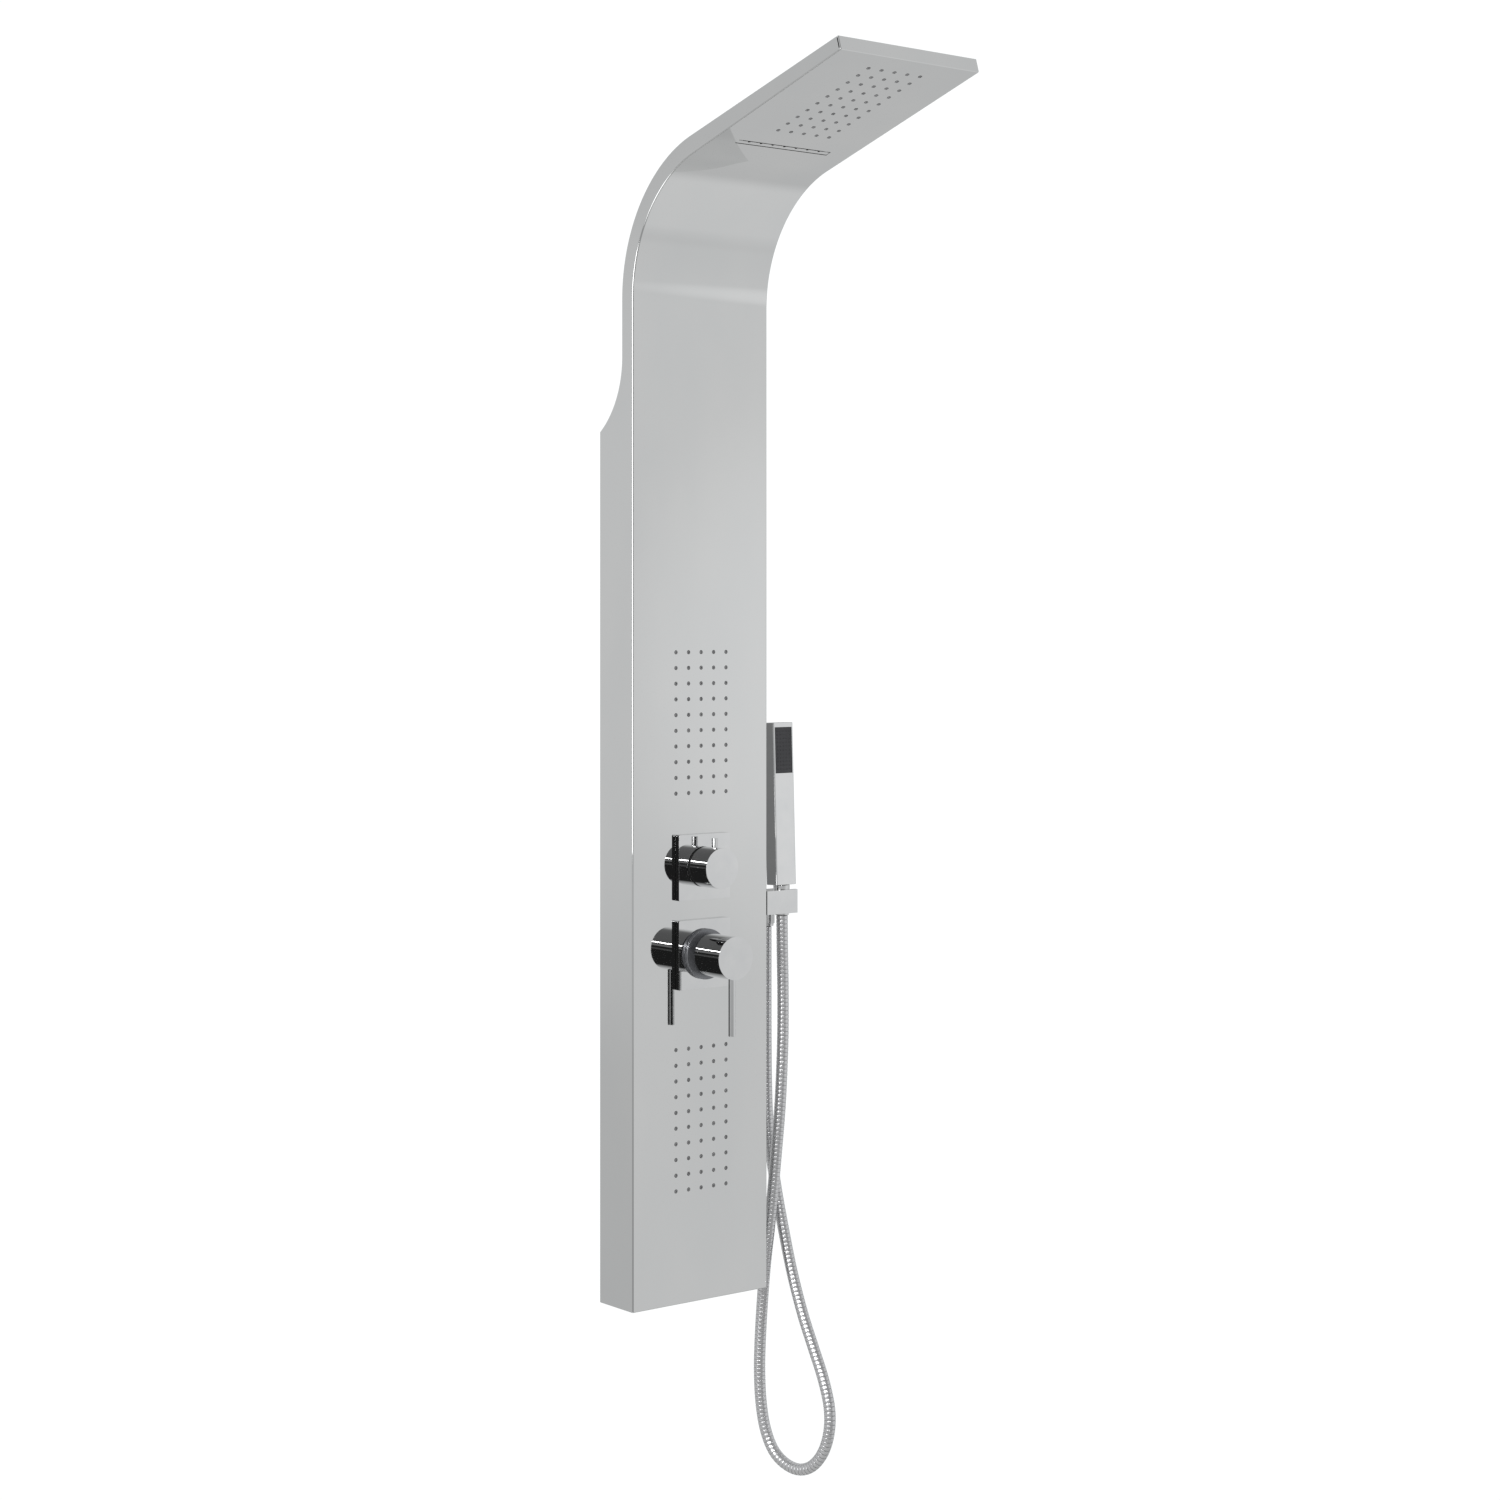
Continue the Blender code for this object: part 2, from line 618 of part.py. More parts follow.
def make_waterfall(panel):
    """The slit outlet near the fold: a rib that fills the opening and the water box behind it."""
    mid, half = WATERFALL_START, WATERFALL_HALF
    opening = WATERFALL_OPENING / 2
    slot = box("waterfall_slot", (-half, mid - opening, -PAST), (half, mid + opening, SHEET + PAST), None,
               CANOPY_FRAME)
    cut(panel, slot)
    rim, end = opening + WATERFALL_LAND, half + WATERFALL_LAP
    front, back = SHEET + GAP, SHEET + GAP + MAT_SHEET
    bar = box(
        "waterfall_nozzle_bar", (-end, mid - rim, front), (end, mid + rim, back), STEEL, CANOPY_FRAME,
    )
    rib = box(
        "waterfall_rib", (-half + GAP, mid - opening + GAP, SHEET / 2),
        (half - GAP, mid + opening - GAP, front + MAT_SHEET / 2), None, CANOPY_FRAME,
    )
    join(bar, rib)
    pitch = 2 * (half - WATERFALL_LAND) / WATERFALL_HOLES
    spots = [((i - (WATERFALL_HOLES - 1) / 2) * pitch, mid) for i in range(WATERFALL_HOLES)]
    cut(bar, pins("waterfall_holes", spots, WATERFALL_HOLE_RADIUS, -PAST, back + PAST, None, CANOPY_FRAME))
    low, high = back + GAP, back + GAP + CHAMBER_DEEP
    chamber = box(
        "waterfall_chamber", (-end, mid - rim, low), (end, mid + rim, high), MOULDING, CANOPY_FRAME,
    )
    spigot = rod(
        "waterfall_spigot", SPIGOT_RADIUS, -WELD, SPIGOT, None, CANOPY_FRAME,
        (-WATERFALL_PIPE_X, mid - rim, (low + high) / 2), (math.pi / 2, 0, 0), 12,
    )
    join(chamber, spigot)
    wall = CHAMBER_WALL
    hollow = box(
        "waterfall_hollow", (-end + wall, mid - rim + wall, low - PAST),
        (end - wall, mid + rim - wall, high - wall), None, CANOPY_FRAME,
    )
    cut(chamber, hollow)


def control_spot(height):
    """Where a control's axis meets the front sheet. OUTWARD pieces there count Z towards the user."""
    return place(0, 0, height)


def make_valve_body(name, height, branches, panel):
    """A cast body behind the panel with a threaded neck through it, a cartridge bore and side branches."""
    spot = control_spot(height)
    bore = CARTRIDGE_RADIUS + GAP
    floor = -CARTRIDGE_DEEP - GAP
    neck_end = PLATE_OUT - PLATE_WALL - GAP
    shoulder = -SHEET - GAP
    profile = (
        (0, floor), (bore, floor), (bore, neck_end), (NECK_RADIUS, neck_end), (NECK_RADIUS, shoulder),
        (BODY_RADIUS, shoulder), (BODY_RADIUS, -BODY_DEEP), (0, -BODY_DEEP),
    )
    body = turned(name, profile, BRASS, None, spot, OUTWARD)
    root = (bore + BODY_RADIUS) / 2
    for label, turn, depth, radius, reach in branches:
        where = place(0, depth, height)
        join(body, rod(f"{name}_{label}", radius, root, BODY_RADIUS + reach, None, None, where, turn, 16))
    hole = rod(f"{name}_panel_hole", NECK_RADIUS + GAP, -SHEET - PAST, PAST, None, None, spot, OUTWARD)
    cut(panel, hole)
    ring(f"{name}_ring_nut", RING_NUT_RADIUS, NECK_RADIUS + GAP, GAP, GAP + RING_NUT_THICK, BRASS, None,
         spot, OUTWARD)


def make_cover_plate(name, height, tall):
    """The square plate that hides a body's ring nut: a shallow tray, open at the back."""
    spot = control_spot(height)
    half, side = PLATE_WIDTH / 2, tall / 2
    plate = box(name, (-half, -side, GAP), (half, side, PLATE_OUT), CHROME, None, spot, OUTWARD)
    inner, inner_side = half - PLATE_WALL, side - PLATE_WALL
    tray = box(f"{name}_tray", (-inner, -inner_side, -PAST), (inner, inner_side, PLATE_OUT - PLATE_WALL),
               None, None, spot, OUTWARD)
    cut(plate, tray)
    bore = CARTRIDGE_RADIUS + RUNNING
    cut(plate, rod(f"{name}_bore", bore, -PAST, PLATE_OUT + PAST, None, None, spot, OUTWARD))


def make_mixer(panel):
    """The single-lever mixer: body, inlets, cartridge, carrier that swivels and handle that lifts."""
    branches = (
        ("hot_branch", SIDEWAYS_LEFT, MIDDLE_DEPTH, INLET_RADIUS, INLET_REACH),
        ("cold_branch", SIDEWAYS, MIDDLE_DEPTH, INLET_RADIUS, INLET_REACH),
        ("outlet", (0, 0, 0), MIDDLE_DEPTH, INLET_RADIUS, SPIGOT),
    )
    make_valve_body("mixer_body", MIXER_HEIGHT, branches, panel)
    make_cover_plate("mixer_plate", MIXER_HEIGHT, MIXER_PLATE_TALL)
    start = BODY_RADIUS + INLET_REACH + GAP
    collar, end = start + NIPPLE_COLLAR, start + NIPPLE_LENGTH
    nipple = ((0, end), (NIPPLE_THREAD_RADIUS, end), (NIPPLE_THREAD_RADIUS, collar),
              (NIPPLE_COLLAR_RADIUS, collar), (NIPPLE_COLLAR_RADIUS, start), (0, start))
    where = place(0, MIDDLE_DEPTH, MIXER_HEIGHT)
    turned("hot_inlet", nipple, BRASS, None, where, SIDEWAYS_LEFT, 20)
    turned("cold_inlet", nipple, BRASS, None, where, SIDEWAYS, 20)
    make_mixer_front()


def make_mixer_front():
    """What stands in front of the mixer's plate, on the carrier's swivel axis and the handle's lift axis."""
    spot = control_spot(MIXER_HEIGHT)
    collar_low = PLATE_OUT + GAP
    ring("mixer_collar", COLLAR_RADIUS, CARTRIDGE_RADIUS + COLLAR_FIT, collar_low, collar_low + COLLAR_THICK,
         DARK_RING, None, spot, OUTWARD)
    front = collar_low + COLLAR_THICK - COLLAR_LIP
    rod("mixer_cartridge", CARTRIDGE_RADIUS, -CARTRIDGE_DEEP, front, CARTRIDGE, None, spot, OUTWARD)
    pivot = empty_at("mixer_pivot", place(0, -PIVOT_OUT, MIXER_HEIGHT), OUTWARD)
    base = (0, 0, -PIVOT_OUT)
    disc = PIVOT_OUT - STEM_BEHIND_PIVOT - CARRIER_SPACE
    carrier = rod("mixer_carrier", CARTRIDGE_RADIUS - RUNNING, front + RUNNING, disc, CARTRIDGE, pivot, base)
    inner = STEM_WIDTH / 2 + RUNNING
    cheek_top = PIVOT_OUT + CHEEK_PAST_PIN
    for label, side in (("left", -1), ("right", 1)):
        low_x, high_x = sorted((side * inner, side * (inner + CHEEK_THICK)))
        cheek = box(f"carrier_{label}_cheek", (low_x, -CHEEK_HALF_TALL, disc - WELD),
                    (high_x, CHEEK_HALF_TALL, cheek_top), None, pivot, base)
        join(carrier, cheek)
    pin_half = inner + CHEEK_THICK - GAP
    pin_cut = inner + CHEEK_THICK + PAST
    pin_hole = rod("pivot_pin_hole", PIVOT_PIN_RADIUS + GAP, -pin_cut, pin_cut, None, pivot, (0, 0, 0),
                   SIDEWAYS, 12)
    cut(carrier, pin_hole)
    rod("mixer_pivot_pin", PIVOT_PIN_RADIUS, -pin_half, pin_half, BRACKET_STEEL, pivot, (0, 0, 0),
        SIDEWAYS, 12)
    stem = box("mixer_stem", (-STEM_WIDTH / 2, -STEM_TALL / 2, PIVOT_OUT - STEM_BEHIND_PIVOT),
               (STEM_WIDTH / 2, STEM_TALL / 2, STEM_END), BRACKET_STEEL, pivot, base)
    cut(stem, pin_hole)
    make_mixer_handle(pivot, base)


def make_mixer_handle(pivot, base):
    """The hollow drum on the stem, the lever screwed up into it and the grub screw that clamps the stem."""
    bore = HANDLE_RADIUS - HANDLE_WALL
    face = HANDLE_FRONT - HANDLE_FACE
    profile = (
        (0, HANDLE_FRONT), (HANDLE_RADIUS, HANDLE_FRONT), (HANDLE_RADIUS, HANDLE_REAR), (bore, HANDLE_REAR),
        (bore, face), (BOSS_RADIUS, face), (BOSS_RADIUS, BOSS_REAR), (0, BOSS_REAR),
    )
    handle = turned("mixer_handle", profile, CHROME, pivot, base, (0, 0, 0), 32)
    socket = box("stem_socket", (-STEM_WIDTH / 2 - GAP, -STEM_TALL / 2 - GAP, BOSS_REAR - PAST),
                 (STEM_WIDTH / 2 + GAP, STEM_TALL / 2 + GAP, STEM_END + GAP), None, pivot, base)
    cut(handle, socket)
    down = (math.pi / 2, 0, 0)
    lever_spot = (0, 0, LEVER_OUT - PIVOT_OUT)
    cut(handle, rod("lever_hole", LEVER_RADIUS + GAP, LEVER_SEAT, HANDLE_RADIUS + PAST, None, pivot,
                    lever_spot, down, 24))
    rod("mixer_lever", LEVER_RADIUS, LEVER_SEAT + GAP, LEVER_END, CHROME, pivot, lever_spot, down, 24)
    grub_spot = (0, 0, GRUB_OUT - PIVOT_OUT)
    grub_low = STEM_TALL / 2 + GAP
    cut(handle, rod("grub_hole", GRUB_RADIUS + GAP, grub_low - WELD, HANDLE_RADIUS + PAST, None, pivot,
                    grub_spot, down, 12))
    rod("mixer_grub_screw", GRUB_RADIUS, grub_low, grub_low + GRUB_LENGTH, BRACKET_STEEL, pivot, grub_spot,
        down, 12)


def make_diverter(panel):
    """The outlet selector: body with five hose branches, cartridge, spindle and knob with a grip pin."""
    branches = (
        ("inlet", UPSIDE_DOWN, MIDDLE_DEPTH, INLET_RADIUS, SPIGOT),
        ("rain_branch", (0, 0, 0), MIDDLE_DEPTH, FEED_RADIUS, SPIGOT),
        ("waterfall_branch", SIDEWAYS_LEFT, NEAR_DEPTH, FEED_RADIUS, SPIGOT),
        ("lower_jet_branch", SIDEWAYS_LEFT, FAR_DEPTH, WIDE_FEED_RADIUS, SPIGOT),
        ("upper_jet_branch", SIDEWAYS, NEAR_DEPTH, FEED_RADIUS, SPIGOT),
        ("hand_branch", SIDEWAYS, FAR_DEPTH, WIDE_FEED_RADIUS, SPIGOT),
    )
    make_valve_body("diverter_body", DIVERTER_HEIGHT, branches, panel)
    make_cover_plate("diverter_plate", DIVERTER_HEIGHT, DIVERTER_PLATE_TALL)
    spot = control_spot(DIVERTER_HEIGHT)
    gasket_low = PLATE_OUT + GAP
    gasket_high = gasket_low + GASKET_THICK
    ring("diverter_gasket", GASKET_RADIUS, CARTRIDGE_RADIUS + RUNNING, gasket_low, gasket_high, DARK_RING,
         None, spot, OUTWARD)
    bore = SPINDLE_RADIUS + RUNNING
    floor = -SPINDLE_INSIDE - RUNNING
    front = gasket_high - GASKET_LIP
    cartridge = ((0, floor), (bore, floor), (bore, front), (CARTRIDGE_RADIUS, front),
                 (CARTRIDGE_RADIUS, -CARTRIDGE_DEEP), (0, -CARTRIDGE_DEEP))
    turned("diverter_cartridge", cartridge, CARTRIDGE, None, spot, OUTWARD)
    rod("diverter_spindle", SPINDLE_RADIUS, -SPINDLE_INSIDE, SPINDLE_END, BRASS, None, spot, OUTWARD, 24)
    rear, hollow = gasket_high + RUNNING, KNOB_RADIUS - KNOB_WALL
    solid_from = rear + KNOB_HOLLOW
    profile = ((0, KNOB_FRONT), (KNOB_RADIUS, KNOB_FRONT), (KNOB_RADIUS, rear), (hollow, rear),
               (hollow, solid_from), (0, solid_from))
    knob = turned("diverter_knob", profile, CHROME, None, spot, OUTWARD, 32)
    cut(knob, rod("spindle_socket", SPINDLE_RADIUS + GAP, solid_from - PAST, SPINDLE_END + GAP, None, None,
                  spot, OUTWARD, 24))
    pin_spot = place(0, -GRIP_PIN_OUT, DIVERTER_HEIGHT)
    cut(knob, rod("grip_pin_hole", GRIP_PIN_RADIUS + GAP, GRIP_PIN_SEAT, KNOB_RADIUS + PAST, None, None,
                  pin_spot, (0, 0, 0), 20))
    rod("diverter_grip_pin", GRIP_PIN_RADIUS, GRIP_PIN_SEAT + GAP, GRIP_PIN_END, CHROME, None, pin_spot,
        (0, 0, 0), 20)


def corners(*points):
    return [place(*point) for point in points]


def make_link():
    """The straight pipe from the mixer up to the diverter."""
    low = MIXER_HEIGHT + BODY_RADIUS + SPIGOT + GAP
    high = DIVERTER_HEIGHT - BODY_RADIUS - SPIGOT - GAP
    rod("link_pipe", INLET_RADIUS, low - MIXER_HEIGHT, high - MIXER_HEIGHT, BRASS, None,
        place(0, MIDDLE_DEPTH, MIXER_HEIGHT), (0, 0, 0), 16)


def over_the_fold(name, start, x, end):
    """A hose that rises behind the panel, follows the fold and ends in the canopy."""
    entry = THIN_HEIGHT - ENTRY_DROP
    rise = rounded(start + corners((x, start_depth(start), entry - THIN_ENTRY), (x, PIPE_MIDDLE, entry),
                                   (x, PIPE_MIDDLE, STRAIGHT_HEIGHT - ENTRY_DROP)), BEND)
    fold = [place(x, *point) for point in fold_arc(PIPE_MIDDLE, 10)]
    tube(name, rise + fold + rounded(end, BEND), FEED_RADIUS, HOSE_PLASTIC)


def start_depth(points):
    return points[-1].y + PANEL_DEPTH


def make_hoses():
    """The hoses from the diverter to every outlet."""
    side = BODY_RADIUS + SPIGOT + GAP
    in_mat = SHEET + 2 * GAP + MAT_SHEET
    above = in_mat + CHAMBER_DEEP / 2
    jet_depth = in_mat + MANIFOLD_DEEP / 2
    reach = ARRAY_HALF + SPIGOT + GAP

    rain = corners((0, MIDDLE_DEPTH, DIVERTER_HEIGHT + side), (0, MIDDLE_DEPTH, SWERVE_HEIGHT),
                   (RAIN_PIPE_X, MIDDLE_DEPTH, SWERVE_HEIGHT + SWERVE_RISE))
    inlet = RAIN_START + RAIN_INLET
    over_the_fold("rain_hose", rain, RAIN_PIPE_X, [
        place(RAIN_PIPE_X, *canopy_point(ENTRY_DROP, above)),
        place(RAIN_PIPE_X, *canopy_point(inlet, above)),
        place(reach, *canopy_point(inlet, above)),
    ])
    fall = corners((-side, NEAR_DEPTH, DIVERTER_HEIGHT), (WATERFALL_PIPE_X, NEAR_DEPTH, DIVERTER_HEIGHT))
    back = WATERFALL_START - WATERFALL_OPENING / 2 - WATERFALL_LAND - SPIGOT - GAP
    over_the_fold("waterfall_hose", fall, WATERFALL_PIPE_X, [
        place(WATERFALL_PIPE_X, *canopy_point(ENTRY_DROP, above)),
        place(WATERFALL_PIPE_X, *canopy_point(back, above)),
    ])
    upper = UPPER_JET_TOP - (ROWS - 1) * JET_PITCH + JET_INLET
    tube("upper_jet_hose", rounded(corners(
        (side, NEAR_DEPTH, DIVERTER_HEIGHT), (RISER_X, NEAR_DEPTH, DIVERTER_HEIGHT),
        (RISER_X, jet_depth, upper - 2 * JET_INLET), (RISER_X, jet_depth, upper), (reach, jet_depth, upper),
    ), BEND / 2), FEED_RADIUS, HOSE_PLASTIC)
    lower = LOWER_JET_TOP - JET_INLET
    tube("lower_jet_hose", rounded(corners(
        (-side, FAR_DEPTH, DIVERTER_HEIGHT), (LOWER_FEED_X, FAR_DEPTH, DIVERTER_HEIGHT),
        (LOWER_FEED_X, FAR_DEPTH, lower + 4 * JET_INLET), (LOWER_FEED_X, jet_depth, lower + 2 * JET_INLET),
        (LOWER_FEED_X, jet_depth, lower), (-reach, jet_depth, lower),
    ), BEND), FEED_RADIUS, HOSE_PLASTIC)
    outlet = HALF_WIDTH - THREAD_INSIDE - GAP
    tube("hand_outlet_hose", rounded(corners(
        (side, FAR_DEPTH, DIVERTER_HEIGHT), (RISER_X - PIPE_SPACE, FAR_DEPTH, DIVERTER_HEIGHT),
        (RISER_X - PIPE_SPACE, OUTLET_DEPTH, OUTLET_HEIGHT), (outlet, OUTLET_DEPTH, OUTLET_HEIGHT),
    ), BEND / 2), WIDE_FEED_RADIUS, HOSE_PLASTIC)


def nut_radius(height):
    """The cone's radius at a height on the hand shower's axis."""
    share = (height - NUT_BOTTOM) / (NUT_TOP - NUT_BOTTOM)
    return NUT_BOTTOM_RADIUS + (NUT_TOP_RADIUS - NUT_BOTTOM_RADIUS) * share


def make_holder(panel, axis):
    """The block on the panel's side with a conical seat, a slot for the hose and two screws from inside."""
    low = (HALF_WIDTH + GAP, 0, HOLDER_LOW)
    high = (HALF_WIDTH + HOLDER_REACH, HOLDER_DEEP, HOLDER_HIGH)
    holder = panel_box("handset_holder", low, high, CHROME)
    cone = ((0, CONE_CUT), (nut_radius(CONE_CUT) + GAP, CONE_CUT), (nut_radius(-CONE_CUT) + GAP, -CONE_CUT),
            (0, -CONE_CUT))
    cut(holder, turned("holder_seat", cone, None, axis))
    cut(holder, box("holder_slot", (0, -HOSE_SLOT / 2, -CONE_CUT), (HOLDER_REACH, HOSE_SLOT / 2, CONE_CUT),
                    None, axis))
    seat = -SHEET - GAP
    back = seat - HOLDER_HEAD_THICK
    screw = ((0, HOLDER_SCREW_LENGTH), (HOLDER_SCREW_RADIUS, HOLDER_SCREW_LENGTH),
             (HOLDER_SCREW_RADIUS, seat), (HOLDER_SCREW_HEAD, seat), (HOLDER_SCREW_HEAD, back), (0, back))
    middle = (HOLDER_LOW + HOLDER_HIGH) / 2
    for number, side in ((1, -1), (2, 1)):
        spot = place(HALF_WIDTH, HOLDER_DEEP / 2, middle + side * HOLDER_SCREW_SPACING / 2)
        hole = rod(f"holder_screw_hole_{number}", HOLDER_SCREW_RADIUS + GAP, -SHEET - PAST,
                   HOLDER_SCREW_LENGTH + GAP, None, None, spot, SIDEWAYS, 12)
        cut(panel, hole)
        cut(holder, hole)
        turned(f"holder_screw_{number}", screw, BRACKET_STEEL, None, spot, SIDEWAYS, 12)


def make_handset(axis):
    """The square hand shower on its cone nut, standing in the holder's seat."""
    throat = NUT_TOP - NUT_BORE_DEEP
    nut = ((NUT_TOP_RADIUS, NUT_TOP), (NUT_BOTTOM_RADIUS, NUT_BOTTOM), (HOSE_RADIUS / 2, NUT_BOTTOM),
           (HOSE_RADIUS / 2, throat), (NUT_BORE_RADIUS, throat), (NUT_BORE_RADIUS, NUT_TOP))
    turned("handset_hose_nut", nut, CHROME, axis)
    low = NUT_TOP + RUNNING
    top = low + HANDSET_TALL
    half, deep = HANDSET_WIDTH / 2, HANDSET_DEEP / 2
    body = box("handset_body", (-half, -deep, low), (half, deep, top), CHROME, axis)
    edge = body.modifiers.new("edges", "BEVEL")
    edge.width = HANDSET_EDGE
    edge.segments = 2
    join(body, rod("handset_spigot", NUT_BORE_RADIUS - RUNNING, low - HANDSET_SPIGOT, low + WELD, None, axis,
                   (0, 0, 0), (0, 0, 0), 24))
    face_top = top - FACE_FROM_TOP
    recess = -deep + FACE_RECESS
    half_face = FACE_WIDTH / 2
    cut(body, box("face_recess", (-half_face - GAP, -deep - PAST, face_top - FACE_TALL - GAP),
                  (half_face + GAP, recess, face_top + GAP), None, axis))
    hollow_top = top - HANDSET_WALL
    cut(body, box("handset_waterway", (-half + HANDSET_WALL, recess + HANDSET_WALL, low + HANDSET_FOOT),
                  (half - HANDSET_WALL, deep - HANDSET_WALL, hollow_top), None, axis))
    cut(body, box("face_mouth", (-half_face + FACE_LEDGE, recess - WELD, face_top - FACE_TALL + FACE_LEDGE),
                  (half_face - FACE_LEDGE, recess + HANDSET_WALL + WELD, face_top - FACE_LEDGE), None, axis))
    cut(body, rod("spigot_bore", SPIGOT_BORE, low - HANDSET_SPIGOT - PAST, low + HANDSET_FOOT + WELD, None,
                  axis, (0, 0, 0), (0, 0, 0), 16))
    box("handset_face", (-half_face, -deep, face_top - FACE_TALL), (half_face, recess - GAP, face_top),
        DARK_RING, axis)


def make_outlet(panel):
    """The elbow that brings the hose's water out of the panel's side, its back nut and the hose's nut."""
    spot = place(HALF_WIDTH, OUTLET_DEPTH, OUTLET_HEIGHT)
    cut(panel, rod("outlet_hole", THREAD_RADIUS + GAP, -SHEET - PAST, PAST, None, None, spot, SIDEWAYS, 24))
    arm = ((0, OUTLET_REACH), (ELBOW_RADIUS, OUTLET_REACH), (ELBOW_RADIUS, GAP + ELBOW_FLANGE),
           (ELBOW_FLANGE_RADIUS, GAP + ELBOW_FLANGE), (ELBOW_FLANGE_RADIUS, GAP), (THREAD_RADIUS, GAP),
           (THREAD_RADIUS, -THREAD_INSIDE), (0, -THREAD_INSIDE))
    elbow = turned("outlet_elbow", arm, CHROME, None, spot, SIDEWAYS, 24)
    corner = place(OUTLET_X, OUTLET_DEPTH, OUTLET_HEIGHT)
    bm = bmesh.new()
    bmesh.ops.create_uvsphere(bm, u_segments=24, v_segments=12, radius=ELBOW_RADIUS + ELBOW_BULGE)
    join(elbow, keep("elbow_corner", mesh_from("elbow_corner", bm), None, corner))
    nut_top = ELBOW_DROP + GAP
    thread_end = nut_top + HOSE_NUT_TALL / 2
    thread, neck = NUT_BORE_RADIUS - RUNNING, ELBOW_RADIUS - ELBOW_BULGE
    drop = ((0, thread_end), (thread, thread_end), (thread, ELBOW_DROP), (neck, ELBOW_DROP), (neck, 0),
            (0, 0))
    join(elbow, turned("elbow_drop", drop, None, None, corner, UPSIDE_DOWN, 24))
    ring("outlet_backnut", BACKNUT_RADIUS, THREAD_RADIUS + GAP, -SHEET - GAP - BACKNUT_THICK, -SHEET - GAP,
         BRASS, None, spot, SIDEWAYS, 24)
    nut_end = nut_top + HOSE_NUT_TALL
    nut = ((HOSE_NUT_RADIUS, nut_end), (HOSE_NUT_RADIUS, nut_top), (NUT_BORE_RADIUS, nut_top),
           (NUT_BORE_RADIUS, thread_end + GAP), (HOSE_RADIUS / 2, thread_end + GAP),
           (HOSE_RADIUS / 2, nut_end))
    turned("outlet_hose_nut", nut, CHROME, None, corner, UPSIDE_DOWN, 24)


def make_free_hose():
    """The metal hose: one smooth curve through its route."""
    route = [place(HALF_WIDTH + out, depth, height) for out, depth, height in HOSE_ROUTE]
    tube("shower_hose", smooth(route, HOSE_STEPS), HOSE_RADIUS, CHROME, 2)


def main():
    panel = make_panel()
    make_cover()
    make_hanger("upper", HANG_HEIGHT)
    make_hanger("lower", LOWER_BRACKET_HEIGHT)
    upper = UPPER_JET_TOP - (ROWS - 1) * JET_PITCH
    lower = LOWER_JET_TOP - (ROWS - 1) * JET_PITCH
    make_array("upper_jet_mat", "upper_jet_manifold", panel, PANEL_FRAME, upper, JET_PITCH, MANIFOLD_DEEP,
               (-1, upper + JET_INLET))
    make_array("lower_jet_mat", "lower_jet_manifold", panel, PANEL_FRAME, lower, JET_PITCH, MANIFOLD_DEEP,
               (1, LOWER_JET_TOP - JET_INLET))
    make_array("rain_nozzle_mat", "rain_chamber", panel, CANOPY_FRAME, RAIN_START, RAIN_PITCH, CHAMBER_DEEP,
               (-1, RAIN_START + RAIN_INLET))
    make_waterfall(panel)
    make_mixer(panel)
    make_diverter(panel)
    make_link()
    make_hoses()
    axis = empty_at("handset_axis", place(SEAT_X, SEAT_DEPTH, SEAT_HEIGHT), (-HAND_TILT, 0, 0))
    make_holder(panel, axis)
    make_handset(axis)
    make_outlet(panel)
    make_free_hose()


main()
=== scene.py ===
# %% [markdown]
# # A rainfall shower column
# The column is a folded sheet of mirror-polished steel that hangs on the wall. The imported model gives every
# piece its place and size, in metres, with +Z up and the user standing towards -Y. This lesson goes over
# the model piece by piece and gives each one its fine shape and its finish.

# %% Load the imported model
import json
import math

import bpy
from mathutils import Matrix, Vector


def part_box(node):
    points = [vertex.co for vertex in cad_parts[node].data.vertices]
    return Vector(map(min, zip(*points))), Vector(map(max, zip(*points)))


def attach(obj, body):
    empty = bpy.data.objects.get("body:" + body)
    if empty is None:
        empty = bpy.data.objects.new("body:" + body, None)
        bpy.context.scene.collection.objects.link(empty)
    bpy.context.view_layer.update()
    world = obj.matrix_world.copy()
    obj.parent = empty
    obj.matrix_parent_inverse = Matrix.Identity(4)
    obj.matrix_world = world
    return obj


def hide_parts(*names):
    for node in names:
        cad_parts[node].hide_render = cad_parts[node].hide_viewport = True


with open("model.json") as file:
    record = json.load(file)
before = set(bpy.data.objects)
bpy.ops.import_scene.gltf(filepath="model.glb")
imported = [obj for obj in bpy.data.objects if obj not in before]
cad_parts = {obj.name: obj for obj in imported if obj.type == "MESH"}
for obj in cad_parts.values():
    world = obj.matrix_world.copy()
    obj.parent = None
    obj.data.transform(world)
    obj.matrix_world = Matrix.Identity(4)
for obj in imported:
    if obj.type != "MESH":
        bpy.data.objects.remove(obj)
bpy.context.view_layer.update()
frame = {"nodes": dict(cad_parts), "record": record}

# %% [markdown]
# ## The driving sizes
# The sheet's own measures come first, because everything is placed from them. `spot` turns a place given on
# the panel, as x from its middle, depth behind its front and height above its lower edge, into the model's
# frame, whose origin is on the wall behind the upper bracket.

# %% Sizes of the panel
panel_low, panel_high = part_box("front_panel")
PANEL_HALF = panel_high.x
PANEL_DEPTH = 0.0648
LOWER_EDGE = panel_low.z
STRAIGHT = 1.1762
SHEET = 0.0012
GAP = 0.0003
FOLD_RADIUS = 0.158
FOLD_TURN = math.radians(73.6)
CANOPY_LENGTH = 0.2689
THIN_DEPTH = 0.0206
TIP_DEPTH = 0.0157
THIN_HEIGHT = 1.1088
NOTCH_RADIUS = 0.1043


def spot(x, depth, height):
    return Vector((x, depth - PANEL_DEPTH, height + LOWER_EDGE))


